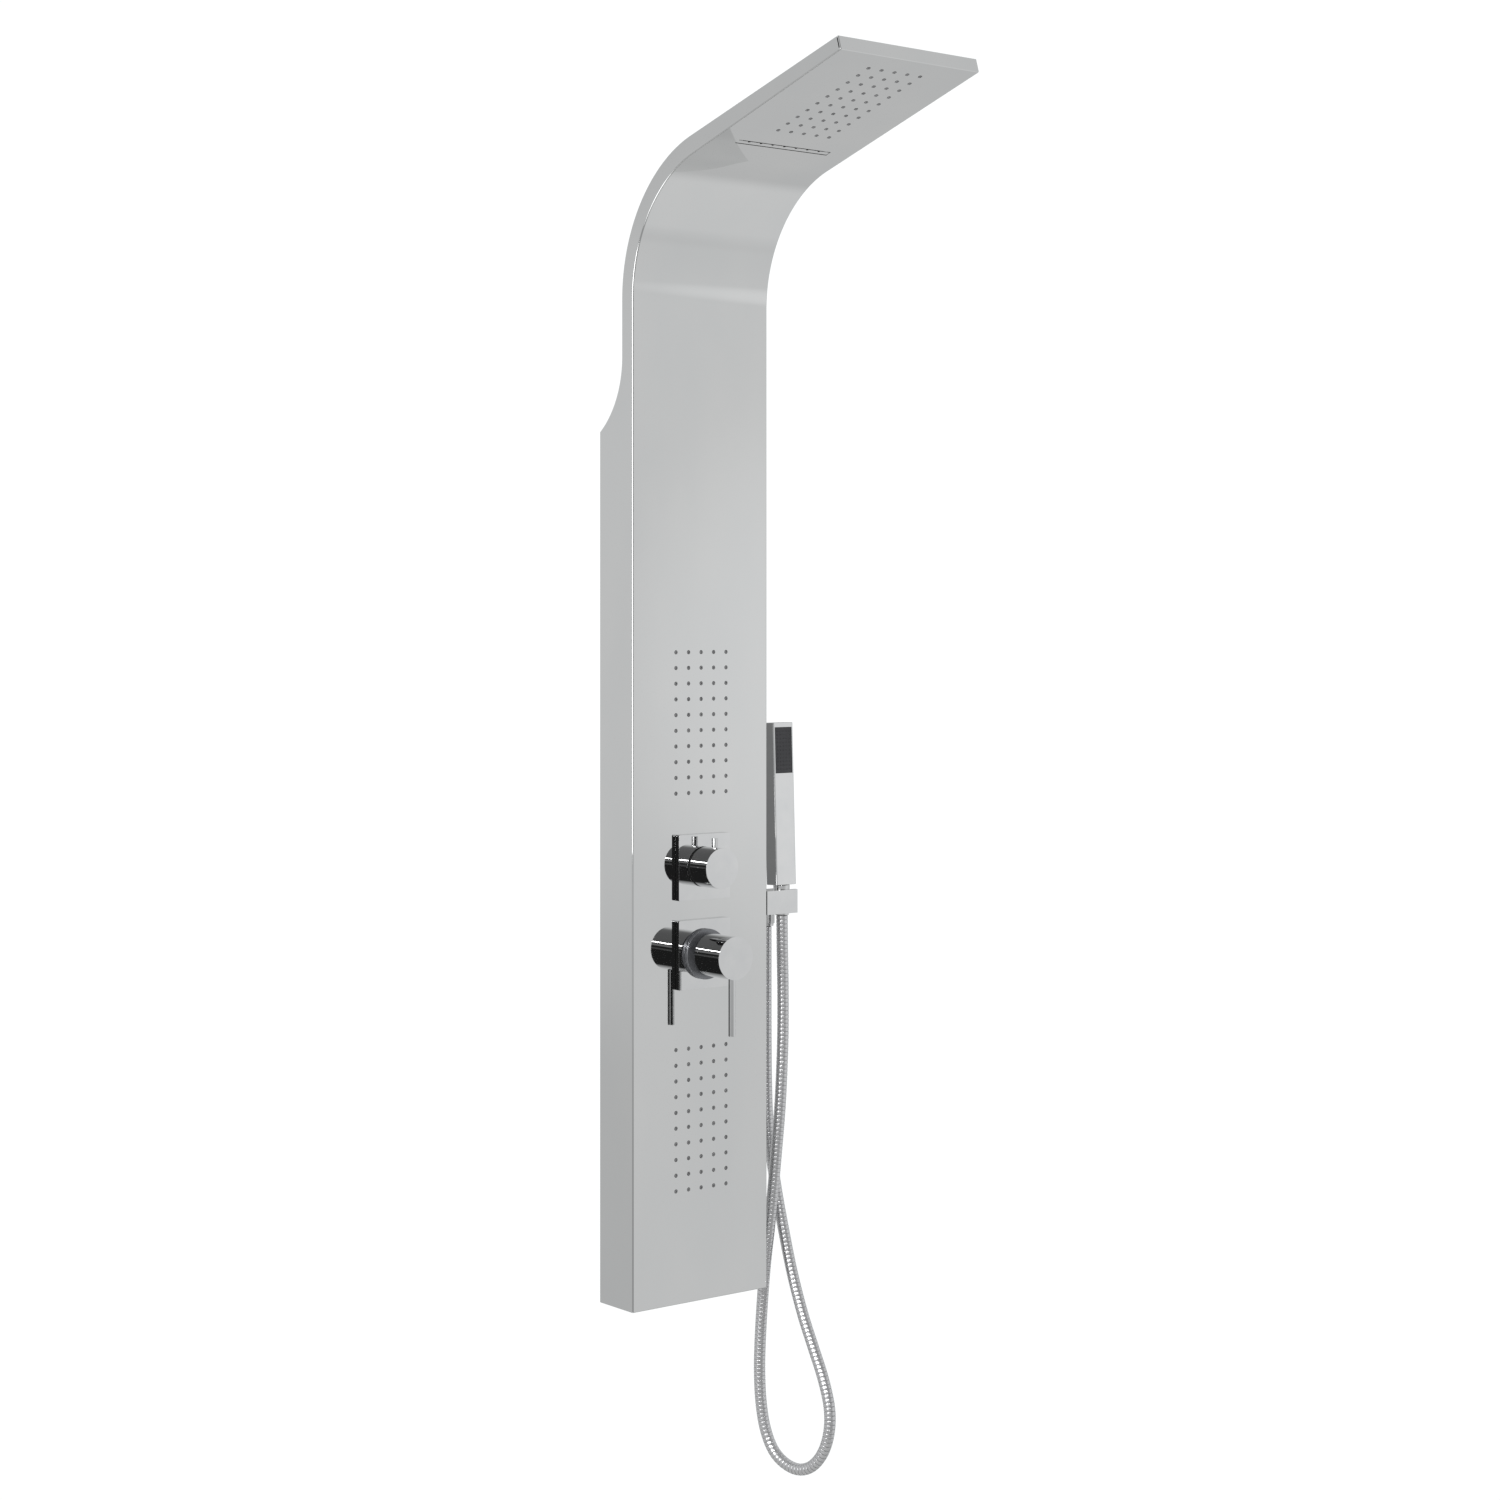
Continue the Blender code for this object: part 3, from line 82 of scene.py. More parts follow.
def on_canopy(x, along, above):
    """A place on the canopy: along from the fold's end, above its lower face."""
    run = Vector((-math.sin(FOLD_TURN), math.cos(FOLD_TURN)))
    up = Vector((math.cos(FOLD_TURN), math.sin(FOLD_TURN)))
    flat = Vector((-FOLD_RADIUS, STRAIGHT)) + up * (FOLD_RADIUS + above) + run * along
    return spot(x, flat.x, flat.y)


print("the panel is", round(2 * PANEL_HALF, 4), "wide; its tip is at", tuple(on_canopy(0, CANOPY_LENGTH, 0)))

# %% [markdown]
# ## The camera
# A level camera with a longer lens stands to the user's left and looks across the front. The lens shift
# moves the frame down a little, so that upright edges stay upright.

# %% Camera
CAMERA_SPOT = (-1.98585, -2.65084, -0.15681)
CAMERA_TURN = math.radians(-38.534)
bpy.ops.object.camera_add(location=CAMERA_SPOT, rotation=(math.pi / 2, 0, CAMERA_TURN))
camera = bpy.context.object
camera.data.lens = 66.30
camera.data.sensor_width = 36
camera.data.shift_y = -0.0869
bpy.context.scene.camera = camera
print("camera at", tuple(camera.location))

# %% [markdown]
# ## The hand shower's hose
# A metal shower hose is wound from a profiled steel strip, whose turns hook into each other. From outside
# it is a row of narrow rounded rings with dark grooves between them. It is 14 mm thick and hangs from the
# hand shower down into a loop and up again to its outlet. A tube with a wavy radius along one smooth curve
# shows this: it takes a loop of points for each place along the hose, which is best written out in code,
# with the middle line's own direction to turn each loop.

# %% The hose's route
HOSE_RADIUS = 0.007
HOSE_ROUTE = (
    (0.1325, 0.0114, 0.4446), (0.1325, 0.0108, 0.4020), (0.1325, 0.0096, 0.3540),
    (0.1310, 0.0080, 0.3000), (0.1290, 0.0080, 0.2515), (0.1265, 0.0085, 0.2090),
    (0.1235, 0.0110, 0.1610), (0.1205, 0.0142, 0.1120), (0.1180, 0.0187, 0.0630),
    (0.1158, 0.0233, 0.0200), (0.1145, 0.0272, -0.0250), (0.1140, 0.0307, -0.0720),
    (0.1142, 0.0322, -0.1110), (0.1152, 0.0304, -0.1480), (0.1172, 0.0245, -0.1790),
    (0.1202, 0.0126, -0.2025), (0.1240, -0.0055, -0.2150), (0.1282, -0.0265, -0.2180),
    (0.1322, -0.0465, -0.2095), (0.1360, -0.0622, -0.1900), (0.1390, -0.0695, -0.1640),
    (0.1408, -0.0675, -0.1360), (0.1415, -0.0550, -0.1040), (0.1415, -0.0368, -0.0710),
    (0.1410, -0.0175, -0.0345), (0.1400, 0.0012, 0.0120), (0.1386, 0.0150, 0.0585),
    (0.1370, 0.0277, 0.1080), (0.1348, 0.0362, 0.1560), (0.1322, 0.0392, 0.2000),
    (0.1302, 0.0388, 0.2420), (0.1290, 0.0381, 0.2960), (0.1283, 0.0374, 0.3515),
    (0.1280, 0.0370, 0.3950), (0.1280, 0.0370, 0.4292),
)


def smooth_line(points, steps):
    """A curve through every point that keeps an even flow between them."""
    ends = [2 * points[0] - points[1], *points, 2 * points[-1] - points[-2]]
    line = []
    for a, b, c, d in zip(ends, ends[1:], ends[2:], ends[3:]):
        for step in range(steps):
            t = step / steps
            bend = (-a + 3 * b - 3 * c + d) * t ** 3 + (2 * a - 5 * b + 4 * c - d) * t ** 2
            line.append((bend + (c - a) * t + 2 * b) / 2)
    line.append(points[-1])
    return line


def length_of(line):
    return sum((b - a).length for a, b in zip(line, line[1:]))


def evenly(line, count):
    """The same line with count points at even steps along it."""
    step = length_of(line) / (count - 1)
    spaced, left = [line[0]], step
    for a, b in zip(line, line[1:]):
        run = (b - a).length
        while left < run and len(spaced) < count - 1:
            a = a + (b - a) * (left / run)
            run -= left
            spaced.append(a)
            left = step
        left -= run
    spaced.append(line[-1])
    return spaced


hose_line = smooth_line([spot(*point) for point in HOSE_ROUTE], 12)

# %% The hose's rings
RING_PITCH = 0.0050
RING_PROFILE = ((0.0, 0.93), (0.10, 0.99), (0.18, 1.0), (0.82, 1.0), (0.90, 0.99))
HOSE_SIDES = 20


def ringed_hose(name, line, radius):
    """A tube whose radius follows RING_PROFILE once a ring, with closed ends."""
    ring_starts = evenly(line, int(length_of(line) / RING_PITCH) + 1)
    centres = [
        start.lerp(end, step)
        for start, end in zip(ring_starts, ring_starts[1:])
        for step, share in RING_PROFILE
    ]
    centres.append(ring_starts[-1])
    count = len(centres)
    aside = Vector((1, 0, 0))
    points, shine, faces = [], [], []
    for index, centre in enumerate(centres):
        ahead = (centres[min(index + 1, count - 1)] - centres[max(index - 1, 0)]).normalized()
        aside = (aside - ahead * aside.dot(ahead)).normalized()
        across = ahead.cross(aside)
        share = RING_PROFILE[index % len(RING_PROFILE)][1]
        for side in range(HOSE_SIDES):
            turn = 2 * math.pi * side / HOSE_SIDES
            points.append(centre + (aside * math.cos(turn) + across * math.sin(turn)) * radius * share)
            shine.append(share)
    for index in range(count - 1):
        for side in range(HOSE_SIDES):
            here, there = index * HOSE_SIDES, (index + 1) * HOSE_SIDES
            after = (side + 1) % HOSE_SIDES
            faces.append((here + side, here + after, there + after, there + side))
    faces.append(tuple(reversed(range(HOSE_SIDES))))
    faces.append(tuple(range((count - 1) * HOSE_SIDES, count * HOSE_SIDES)))
    mesh = bpy.data.meshes.new(name)
    mesh.from_pydata(points, [], faces)
    groove = mesh.attributes.new("ring_height", "FLOAT", "POINT")
    groove.data.foreach_set("value", shine)
    mesh.shade_smooth()
    hose = bpy.data.objects.new(name, mesh)
    bpy.context.scene.collection.objects.link(hose)
    return hose, centres


hose, hose_centres = ringed_hose("hose_rings", hose_line, HOSE_RADIUS)
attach(hose, "column")
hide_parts("shower_hose")
print("hose rings:", len(hose_centres) // len(RING_PROFILE))

# %% [markdown]
# ## Finishes
# Polished steel and chrome have next to no colour of their own: they are mirrors, and what they show is the
# room. A Principled shader with full metallic and a low roughness does that. What makes it read as sheet
# metal is what the polisher leaves behind: cloudy patches that are a little less sharp, hair-fine lines
# that run along the sheet, and a slow waviness that bends reflections. These come from noise on Object
# coordinates, so that the pattern stays with the piece.

# %% Helpers for materials
finishes = {}


def new_finish(slot, colour, roughness, metallic=0.0):
    """A Principled material with its name, links and shader to hand."""
    material = bpy.data.materials.new(slot)
    material.use_nodes = True
    nodes, links = material.node_tree.nodes, material.node_tree.links
    shader = nodes["Principled BSDF"]
    shader.inputs["Base Color"].default_value = (*colour, 1)
    shader.inputs["Roughness"].default_value = roughness
    shader.inputs["Metallic"].default_value = metallic
    finishes[slot] = material
    return nodes, links, shader


def add_noise(nodes, links, scale, stretch=(1, 1, 1), detail=3.0):
    """Noise on the piece's own coordinates, stretched along its axes."""
    place = nodes.new("ShaderNodeTexCoord")
    mapping = nodes.new("ShaderNodeMapping")
    mapping.inputs["Scale"].default_value = stretch
    noise = nodes.new("ShaderNodeTexNoise")
    noise.inputs["Scale"].default_value = scale
    noise.inputs["Detail"].default_value = detail
    links.new(place.outputs["Object"], mapping.inputs["Vector"])
    links.new(mapping.outputs["Vector"], noise.inputs["Vector"])
    return noise.outputs["Fac"]


def between(nodes, links, value, low, high, start=0.3, end=0.7):
    """A value brought from start..end to low..high."""
    ranged = nodes.new("ShaderNodeMapRange")
    ranged.inputs["From Min"].default_value = start
    ranged.inputs["From Max"].default_value = end
    ranged.inputs["To Min"].default_value = low
    ranged.inputs["To Max"].default_value = high
    links.new(value, ranged.inputs["Value"])
    return ranged.outputs["Result"]


def add_bumps(nodes, links, shader, layers):
    """Bump nodes one after another: each layer is a height, its distance in metres and its strength."""
    normal = None
    for height, distance, strength in layers:
        bump = nodes.new("ShaderNodeBump")
        bump.inputs["Distance"].default_value = distance
        bump.inputs["Strength"].default_value = strength
        links.new(height, bump.inputs["Height"])
        if normal:
            links.new(normal, bump.inputs["Normal"])
        normal = bump.outputs["Normal"]
    links.new(normal, shader.inputs["Normal"])


def two_tone(nodes, links, value, dark, light, start=0.3, end=0.7):
    """A colour between dark and light, led by a value."""
    ramp = nodes.new("ShaderNodeValToRGB")
    ramp.color_ramp.elements[0].position = start
    ramp.color_ramp.elements[0].color = (*dark, 1)
    ramp.color_ramp.elements[1].position = end
    ramp.color_ramp.elements[1].color = (*light, 1)
    links.new(value, ramp.inputs["Fac"])
    return ramp.outputs["Color"]


print("helpers for materials are ready")

# %% Polished sheet steel
nodes, links, shader = new_finish("polished_steel", (0.70, 0.70, 0.70), 0.07, 1.0)
clouds = add_noise(nodes, links, 9, (1, 1, 0.5))
hairlines = add_noise(nodes, links, 700, (1, 1, 0.02), 2.0)
waves = add_noise(nodes, links, 5, (1, 1, 0.6), 1.0)
links.new(between(nodes, links, clouds, 0.02, 0.05), shader.inputs["Roughness"])
tones = two_tone(nodes, links, clouds, (0.685, 0.69, 0.69), (0.715, 0.715, 0.71))
links.new(tones, shader.inputs["Base Color"])
add_bumps(nodes, links, shader, [(hairlines, 0.00001, 0.01), (waves, 0.0006, 0.06)])
print("polished steel:", len(nodes), "nodes")

# %% Bright chrome plate
nodes, links, shader = new_finish("chrome_plate", (0.72, 0.725, 0.73), 0.035, 1.0)
smears = add_noise(nodes, links, 45)
buffing = add_noise(nodes, links, 900, (1, 0.3, 1), 2.0)
links.new(between(nodes, links, smears, 0.02, 0.06), shader.inputs["Roughness"])
tones = two_tone(nodes, links, smears, (0.70, 0.705, 0.71), (0.74, 0.74, 0.74))
links.new(tones, shader.inputs["Base Color"])
add_bumps(nodes, links, shader, [(buffing, 0.00001, 0.01)])
print("chrome plate:", len(nodes), "nodes")

# %% [markdown]
# ### The hose's metal
# The rings are bright. The grooves between them get a dark colour: painted shade for the shadow they hold,
# with a little dirt. The tube's own `ring_height` attribute says how high each point stands, so the painted
# groove shade follows the rings wherever the hose bends.

# %% Hose metal
nodes, links, shader = new_finish("hose_metal", (0.7, 0.7, 0.71), 0.18, 1.0)
height = nodes.new("ShaderNodeAttribute")
height.attribute_name = "ring_height"
# painted shade: the grooves' dark colour stands in for the shadow between the rings, with a little dirt
links.new(two_tone(nodes, links, height.outputs["Fac"], (0.16, 0.16, 0.17), (0.70, 0.70, 0.71), 0.92, 0.985),
          shader.inputs["Base Color"])
links.new(between(nodes, links, height.outputs["Fac"], 0.45, 0.25, 0.93, 1.0), shader.inputs["Roughness"])
hose.data.materials.append(finishes["hose_metal"])
print("hose metal:", len(nodes), "nodes")

# %% [markdown]
# ### The quieter finishes
# Behind the panel are plain steel straps, cast and turned brass, white mouldings and grey hoses. In front,
# the nozzles are silicone rubber, the mixer's collar is satin grey and the hand shower's face is a dark
# moulding. Each is a base colour that drifts a little, a roughness that drifts with it, and a bump at the
# scale of the surface: sand grain on the castings, drawing lines on the straps, a fine leathery grain on
# the mouldings.

# %% One recipe for the quieter finishes
QUIET_FINISHES = (
    # slot, dark tone, light tone, roughness from and to, metallic, grain scale, grain height, stretch
    ("bracket_steel", (0.50, 0.51, 0.52), (0.64, 0.65, 0.66), 0.26, 0.42, 1.0, 420, 0.00004, (0.05, 1, 1)),
    ("cast_brass", (0.52, 0.36, 0.14), (0.72, 0.54, 0.26), 0.28, 0.50, 1.0, 1300, 0.00012, (1, 1, 1)),
    ("satin_collar", (0.20, 0.205, 0.22), (0.27, 0.275, 0.29), 0.30, 0.42, 0.6, 900, 0.00002, (1, 0.1, 1)),
    ("rubber_gasket", (0.010, 0.010, 0.010), (0.022, 0.022, 0.022), 0.55, 0.75, 0.0, 700, 0.00003, (1, 1, 1)),
    ("nozzle_silicone", (0.22, 0.22, 0.225), (0.30, 0.30, 0.305), 0.45, 0.62, 0.0, 800, 0.00003, (1, 1, 1)),
    ("handset_nozzle_face", (0.040, 0.040, 0.044), (0.062, 0.062, 0.068), 0.38, 0.55, 0.0, 1500, 0.00003,
     (1, 1, 1)),
    ("white_moulding", (0.73, 0.73, 0.70), (0.78, 0.78, 0.75), 0.40, 0.58, 0.0, 600, 0.00005, (1, 1, 1)),
    ("feed_hose", (0.44, 0.46, 0.48), (0.58, 0.60, 0.62), 0.30, 0.45, 0.0, 350, 0.00005, (1, 1, 1)),
    ("cartridge_plastic", (0.44, 0.45, 0.47), (0.56, 0.57, 0.59), 0.38, 0.52, 0.0, 900, 0.00003, (1, 1, 1)),
)
for slot, dark, light, smoothest, roughest, metallic, grain, grain_height, stretch in QUIET_FINISHES:
    nodes, links, shader = new_finish(slot, light, roughest, metallic)
    drift = add_noise(nodes, links, 30)
    grains = add_noise(nodes, links, grain, stretch)
    links.new(two_tone(nodes, links, drift, dark, light), shader.inputs["Base Color"])
    links.new(between(nodes, links, drift, smoothest, roughest), shader.inputs["Roughness"])
    add_bumps(nodes, links, shader, [(grains, grain_height, 0.5)])
print("finishes:", sorted(finishes))

# %% [markdown]
# ## Bench tools
# Most pieces are round stock or sheet. Round stock is drawn out: a circle is added, then extruded and
# scaled one step of its profile at a time, as one would by hand. Sheet and block work starts from a cube.
# Every piece ends the same way: small bevels on its edges, because a real edge always catches a line of
# light, then shading that keeps flat faces flat, its place applied so that the object sits at the origin,
# its finish and its body.

# %% Picking, placing and selecting
def nothing_selected():
    if bpy.context.mode != "OBJECT":
        bpy.ops.object.mode_set(mode="OBJECT")
    bpy.ops.object.select_all(action="DESELECT")


def pick(piece):
    nothing_selected()
    piece.select_set(True)
    bpy.context.view_layer.objects.active = piece


def settle(piece, place):
    """Moves a piece to its place and applies it, so that its object sits at the origin."""
    piece.matrix_world = place @ piece.matrix_world
    pick(piece)
    bpy.ops.object.transform_apply(location=True, rotation=True, scale=True)


def edit_faces(piece, wanted):
    """Opens edit mode with only the wanted faces selected."""
    pick(piece)
    bpy.ops.object.mode_set(mode="EDIT")
    bpy.ops.mesh.select_mode(type="FACE")
    bpy.ops.mesh.select_all(action="DESELECT")
    bpy.ops.object.mode_set(mode="OBJECT")
    for face in piece.data.polygons:
        face.select = wanted(face)
    bpy.ops.object.mode_set(mode="EDIT")


def edit_edges(piece, wanted):
    """Opens edit mode with only the wanted edges selected: wanted is asked about each edge's two ends."""
    pick(piece)
    bpy.ops.object.mode_set(mode="EDIT")
    bpy.ops.mesh.select_mode(type="EDGE")
    bpy.ops.mesh.select_all(action="DESELECT")
    bpy.ops.object.mode_set(mode="OBJECT")
    points = piece.data.vertices
    for edge in piece.data.edges:
        edge.select = wanted(*(points[end].co for end in edge.vertices))
    bpy.ops.object.mode_set(mode="EDIT")


def tidy_normals(piece):
    pick(piece)
    bpy.ops.object.mode_set(mode="EDIT")
    bpy.ops.mesh.select_all(action="SELECT")
    bpy.ops.mesh.normals_make_consistent(inside=False)
    bpy.ops.object.mode_set(mode="OBJECT")


print("selecting tools are ready")


# %% Drawing out, blocks, cuts, joins and soft edges
def drawn_out(name, profile, place, sides=96, bored=False):
    """Round stock along local Z through (radius, height) steps. A bored piece's last step meets its first."""
    nothing_selected()
    radius, height = profile[0]
    bpy.ops.mesh.primitive_circle_add(
        vertices=sides, radius=radius, fill_type="NOTHING" if bored else "NGON", location=(0, 0, height)
    )
    piece = bpy.context.object
    piece.name = piece.data.name = name
    bpy.ops.object.transform_apply(location=True)
    bpy.ops.object.mode_set(mode="EDIT")
    bpy.ops.mesh.select_mode(type="EDGE" if bored else "FACE")
    bpy.ops.mesh.select_all(action="SELECT")
    for (wide, low), (new, high) in zip(profile, profile[1:]):
        bpy.ops.mesh.extrude_region_move(TRANSFORM_OT_translate={"value": (0, 0, high - low)})
        bpy.ops.transform.resize(value=(new / wide, new / wide, 1), center_override=(0, 0, high))
    if bored:
        bpy.ops.mesh.select_all(action="DESELECT")
        bpy.ops.mesh.select_non_manifold()
        bpy.ops.mesh.bridge_edge_loops()
    bpy.ops.object.mode_set(mode="OBJECT")
    tidy_normals(piece)
    settle(piece, place)
    return piece


def block(name, low, high, place=Matrix.Identity(4)):
    """A cube drawn to two corners."""
    low, high = Vector(low), Vector(high)
    nothing_selected()
    bpy.ops.mesh.primitive_cube_add(size=1, location=(low + high) / 2, scale=high - low)
    piece = bpy.context.object
    piece.name = piece.data.name = name
    settle(piece, place)
    return piece


def shape_with(piece, other, operation):
    """Cuts the other shape away, or joins it on, and removes it."""
    pick(piece)
    change = piece.modifiers.new("shape", "BOOLEAN")
    change.operation = operation
    change.object = other
    change.solver = "EXACT"
    bpy.ops.object.modifier_apply(modifier=change.name)
    bpy.data.objects.remove(other)


def even_shading(piece, angle=35):
    pick(piece)
    bpy.ops.object.shade_smooth_by_angle(angle=math.radians(angle))
    even = piece.modifiers.new("even shading", "WEIGHTED_NORMAL")
    even.keep_sharp = True
    bpy.ops.object.modifier_apply(modifier=even.name)


def soften(piece, width, segments=2, angle=30):
    """Bevels every edge sharper than angle and evens the shading."""
    pick(piece)
    bevel = piece.modifiers.new("soft edges", "BEVEL")
    bevel.width = width
    bevel.segments = segments
    bevel.limit_method = "ANGLE"
    bevel.angle_limit = math.radians(angle)
    bpy.ops.object.modifier_apply(modifier=bevel.name)
    even_shading(piece)


def copies(piece, spots, place):
    """The piece at every spot of a local frame, all in one object, each copy with its own mesh."""
    made = []
    for x, y in spots:
        one = piece.copy()
        one.data = piece.data.copy()
        one.data.transform(place @ Matrix.Translation((x, y, 0)))
        bpy.context.scene.collection.objects.link(one)
        made.append(one)
    bpy.data.objects.remove(piece)
    nothing_selected()
    for one in made:
        one.select_set(True)
    bpy.context.view_layer.objects.active = made[0]
    bpy.ops.object.join()
    return bpy.context.object


def joined(*pieces):
    nothing_selected()
    for piece in pieces:
        piece.select_set(True)
    bpy.context.view_layer.objects.active = pieces[0]
    bpy.ops.object.join()
    return bpy.context.object


def fit(piece, body, slot, *nodes):
    """Gives a finished piece its material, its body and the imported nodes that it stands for."""
    piece.data.materials.clear()
    piece.data.materials.append(finishes[slot])
    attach(piece, body)
    if nodes:
        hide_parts(*nodes)
    print(piece.name, len(piece.data.polygons), "faces")


OUTWARD = Matrix.Rotation(math.pi / 2, 4, "X")
SIDEWAYS = Matrix.Rotation(math.pi / 2, 4, "Y")
UPSIDE_DOWN = Matrix.Rotation(math.pi, 4, "X")
STILL = Matrix.Identity(4)


def at(place, turn=STILL):
    return Matrix.Translation(place) @ turn


# %% [markdown]
# ## The folded panel
# The real panel is one steel sheet: its sides are folded back along the two front edges, and its top is
# rolled forward. A bar of the panel's section, whose top face is spun round the fold and then pulled out
# along the canopy, has that shape at once, with a fold that is truly round. Its front edges are bevelled to
# the bend's radius and the part behind the thin upper back is cut away. Deleting the back faces leaves an
# open skin, which a Solidify modifier turns into sheet by growing it inwards, so the outside keeps its
# size.

# %% Bars that follow the fold
FOLD_AXIS = spot(0, -FOLD_RADIUS, STRAIGHT)
RUN = on_canopy(0, 1, 0) - on_canopy(0, 0, 0)
CANOPY_UP = on_canopy(0, 0, 1) - on_canopy(0, 0, 0)
FOLD_STEPS = 64


def folded_bar(name, half, front, back, bottom, length, tip_back=None):
    """A bar from bottom up to the fold, round it and out along the canopy, between two depths."""
    bar = block(name, spot(-half, front, bottom), spot(half, back, STRAIGHT))
    edit_faces(bar, lambda face: face.normal.z > 0.9)
    bpy.ops.mesh.spin(steps=FOLD_STEPS, angle=FOLD_TURN, center=FOLD_AXIS, axis=(-1, 0, 0))
    bpy.ops.mesh.extrude_region_move(TRANSFORM_OT_translate={"value": RUN * length})
    bpy.ops.mesh.select_all(action="DESELECT")
    bpy.ops.mesh.select_mode(type="FACE")
    bpy.ops.mesh.select_interior_faces()
    bpy.ops.mesh.delete(type="FACE")
    bpy.ops.object.mode_set(mode="OBJECT")
    if tip_back is not None:
        for point in bar.data.vertices:
            past = (point.co - on_canopy(0, 0, 0)).dot(RUN)
            if past > length - SHEET and point.co.z > LOWER_EDGE + STRAIGHT:
                point.co += CANOPY_UP * (tip_back - THIN_DEPTH)
    tidy_normals(bar)
    return bar


print("one bar takes", FOLD_STEPS, "steps round the fold")


# %% The sheet itself
BEND_RADIUS = 0.0019
BEND_STEPS = 6
END_RADIUS = 0.0013


def behind_front(point):
    """How deep a point lies behind the panel's front, wherever it is round the fold."""
    if point.z <= FOLD_AXIS.z:
        return point.y + PANEL_DEPTH
    across = point - FOLD_AXIS
    turn = math.atan2(across.z, across.y)
    if turn < FOLD_TURN:
        return math.hypot(across.y, across.z) - FOLD_RADIUS
    return (point - on_canopy(0, 0, 0)).dot(CANOPY_UP)


def on_front_edge(a, b):
    """True for an edge along one of the two long front bends."""
    same_side = a.x * b.x > 0 and min(abs(a.x), abs(b.x)) > PANEL_HALF - SHEET
    return same_side and max(abs(behind_front(a)), abs(behind_front(b))) < GAP


panel = folded_bar("folded_panel", PANEL_HALF, 0, PANEL_DEPTH, 0, CANOPY_LENGTH)
edit_edges(panel, on_front_edge)
bpy.ops.mesh.bevel(offset=BEND_RADIUS, segments=BEND_STEPS, affect="EDGES")
bpy.ops.object.mode_set(mode="OBJECT")

BEYOND = 0.01
NOTCH_STEPS = 32
notch_axis = spot(0, THIN_DEPTH + NOTCH_RADIUS, THIN_HEIGHT)
behind = folded_bar("behind_thin_part", PANEL_HALF + BEYOND, THIN_DEPTH, THIN_DEPTH + NOTCH_RADIUS, THIN_HEIGHT,
                    CANOPY_LENGTH + BEYOND, TIP_DEPTH)
edit_faces(behind, lambda face: face.normal.z < -0.9 and face.center.z < notch_axis.z + GAP)
bpy.ops.mesh.spin(steps=NOTCH_STEPS, angle=math.pi / 2, center=notch_axis, axis=(-1, 0, 0))
bpy.ops.mesh.select_all(action="SELECT")
bpy.ops.mesh.remove_doubles(threshold=GAP / 10)
bpy.ops.mesh.select_all(action="DESELECT")
bpy.ops.mesh.select_interior_faces()
bpy.ops.mesh.delete(type="FACE")
bpy.ops.object.mode_set(mode="OBJECT")
tidy_normals(behind)
shape_with(panel, behind, "DIFFERENCE")
edit_faces(panel, lambda face: face.normal.y > 0.2)
bpy.ops.mesh.delete(type="FACE")
bpy.ops.object.mode_set(mode="OBJECT")
pick(panel)
ends = panel.modifiers.new("folded ends", "BEVEL")
ends.width = END_RADIUS
ends.segments = 3
ends.limit_method = "ANGLE"
ends.angle_limit = math.radians(60)
bpy.ops.object.modifier_apply(modifier=ends.name)
sheet = panel.modifiers.new("sheet", "SOLIDIFY")
sheet.thickness = SHEET
sheet.offset = -1
sheet.use_even_offset = True
bpy.ops.object.modifier_apply(modifier=sheet.name)
print("sheet:", len(panel.data.polygons), "faces")

# %% [markdown]
# ### Holes in the sheet
# The jets, the rain nozzles, the waterfall slot and the fittings need their holes. Each field of nozzles is
# one grid of small round cutters, placed in a local frame that counts x across, y along the rows and z in
# through the sheet, so that the same grid serves the upright front and the sloping canopy.

# %% Nozzle grids and their holes
COLUMNS, ROWS = 5, 10
COLUMN_PITCH = 0.0186
JET_PITCH = 0.0184
RAIN_PITCH = 0.0178
UPPER_JET_ROW = 0.7649 - (ROWS - 1) * JET_PITCH
LOWER_JET_ROW = 0.2988 - (ROWS - 1) * JET_PITCH
RAIN_ROW = 0.0798
NOZZLE_RADIUS = 0.0018
FRONT_FRAME = at(spot(0, 0, 0), Matrix.Rotation(math.pi, 4, "Z") @ Matrix.Rotation(math.pi / 2, 4, "X"))
CANOPY_FRAME = at(on_canopy(0, 0, 0),
                  Matrix.Rotation(math.pi, 4, "Z") @ Matrix.Rotation(math.pi / 2 - FOLD_TURN, 4, "X"))
FIELDS = (
    ("upper_jet", FRONT_FRAME, UPPER_JET_ROW, JET_PITCH),
    ("lower_jet", FRONT_FRAME, LOWER_JET_ROW, JET_PITCH),
    ("rain_nozzle", CANOPY_FRAME, RAIN_ROW, RAIN_PITCH),
)


def nozzle_spots(first_row, pitch):
    middle = (COLUMNS - 1) / 2
    return [
        ((column - middle) * COLUMN_PITCH, first_row + row * pitch)
        for column in range(COLUMNS)
        for row in range(ROWS)
    ]


HOLE_RADIUS = NOZZLE_RADIUS + 2 * GAP
for field, local_frame, first_row, pitch in FIELDS:
    cutter = drawn_out("cutter", [(HOLE_RADIUS, -0.002), (HOLE_RADIUS, 0.004)], STILL, 20)
    shape_with(panel, copies(cutter, nozzle_spots(first_row, pitch), local_frame), "DIFFERENCE")

SLOT_START, SLOT_WIDTH, SLOT_HALF = 0.0420, 0.0090, 0.067
slot_low = (-SLOT_HALF, SLOT_START - SLOT_WIDTH / 2, -0.002)
slot_high = (SLOT_HALF, SLOT_START + SLOT_WIDTH / 2, 0.004)
shape_with(panel, block("cutter", slot_low, slot_high, CANOPY_FRAME), "DIFFERENCE")

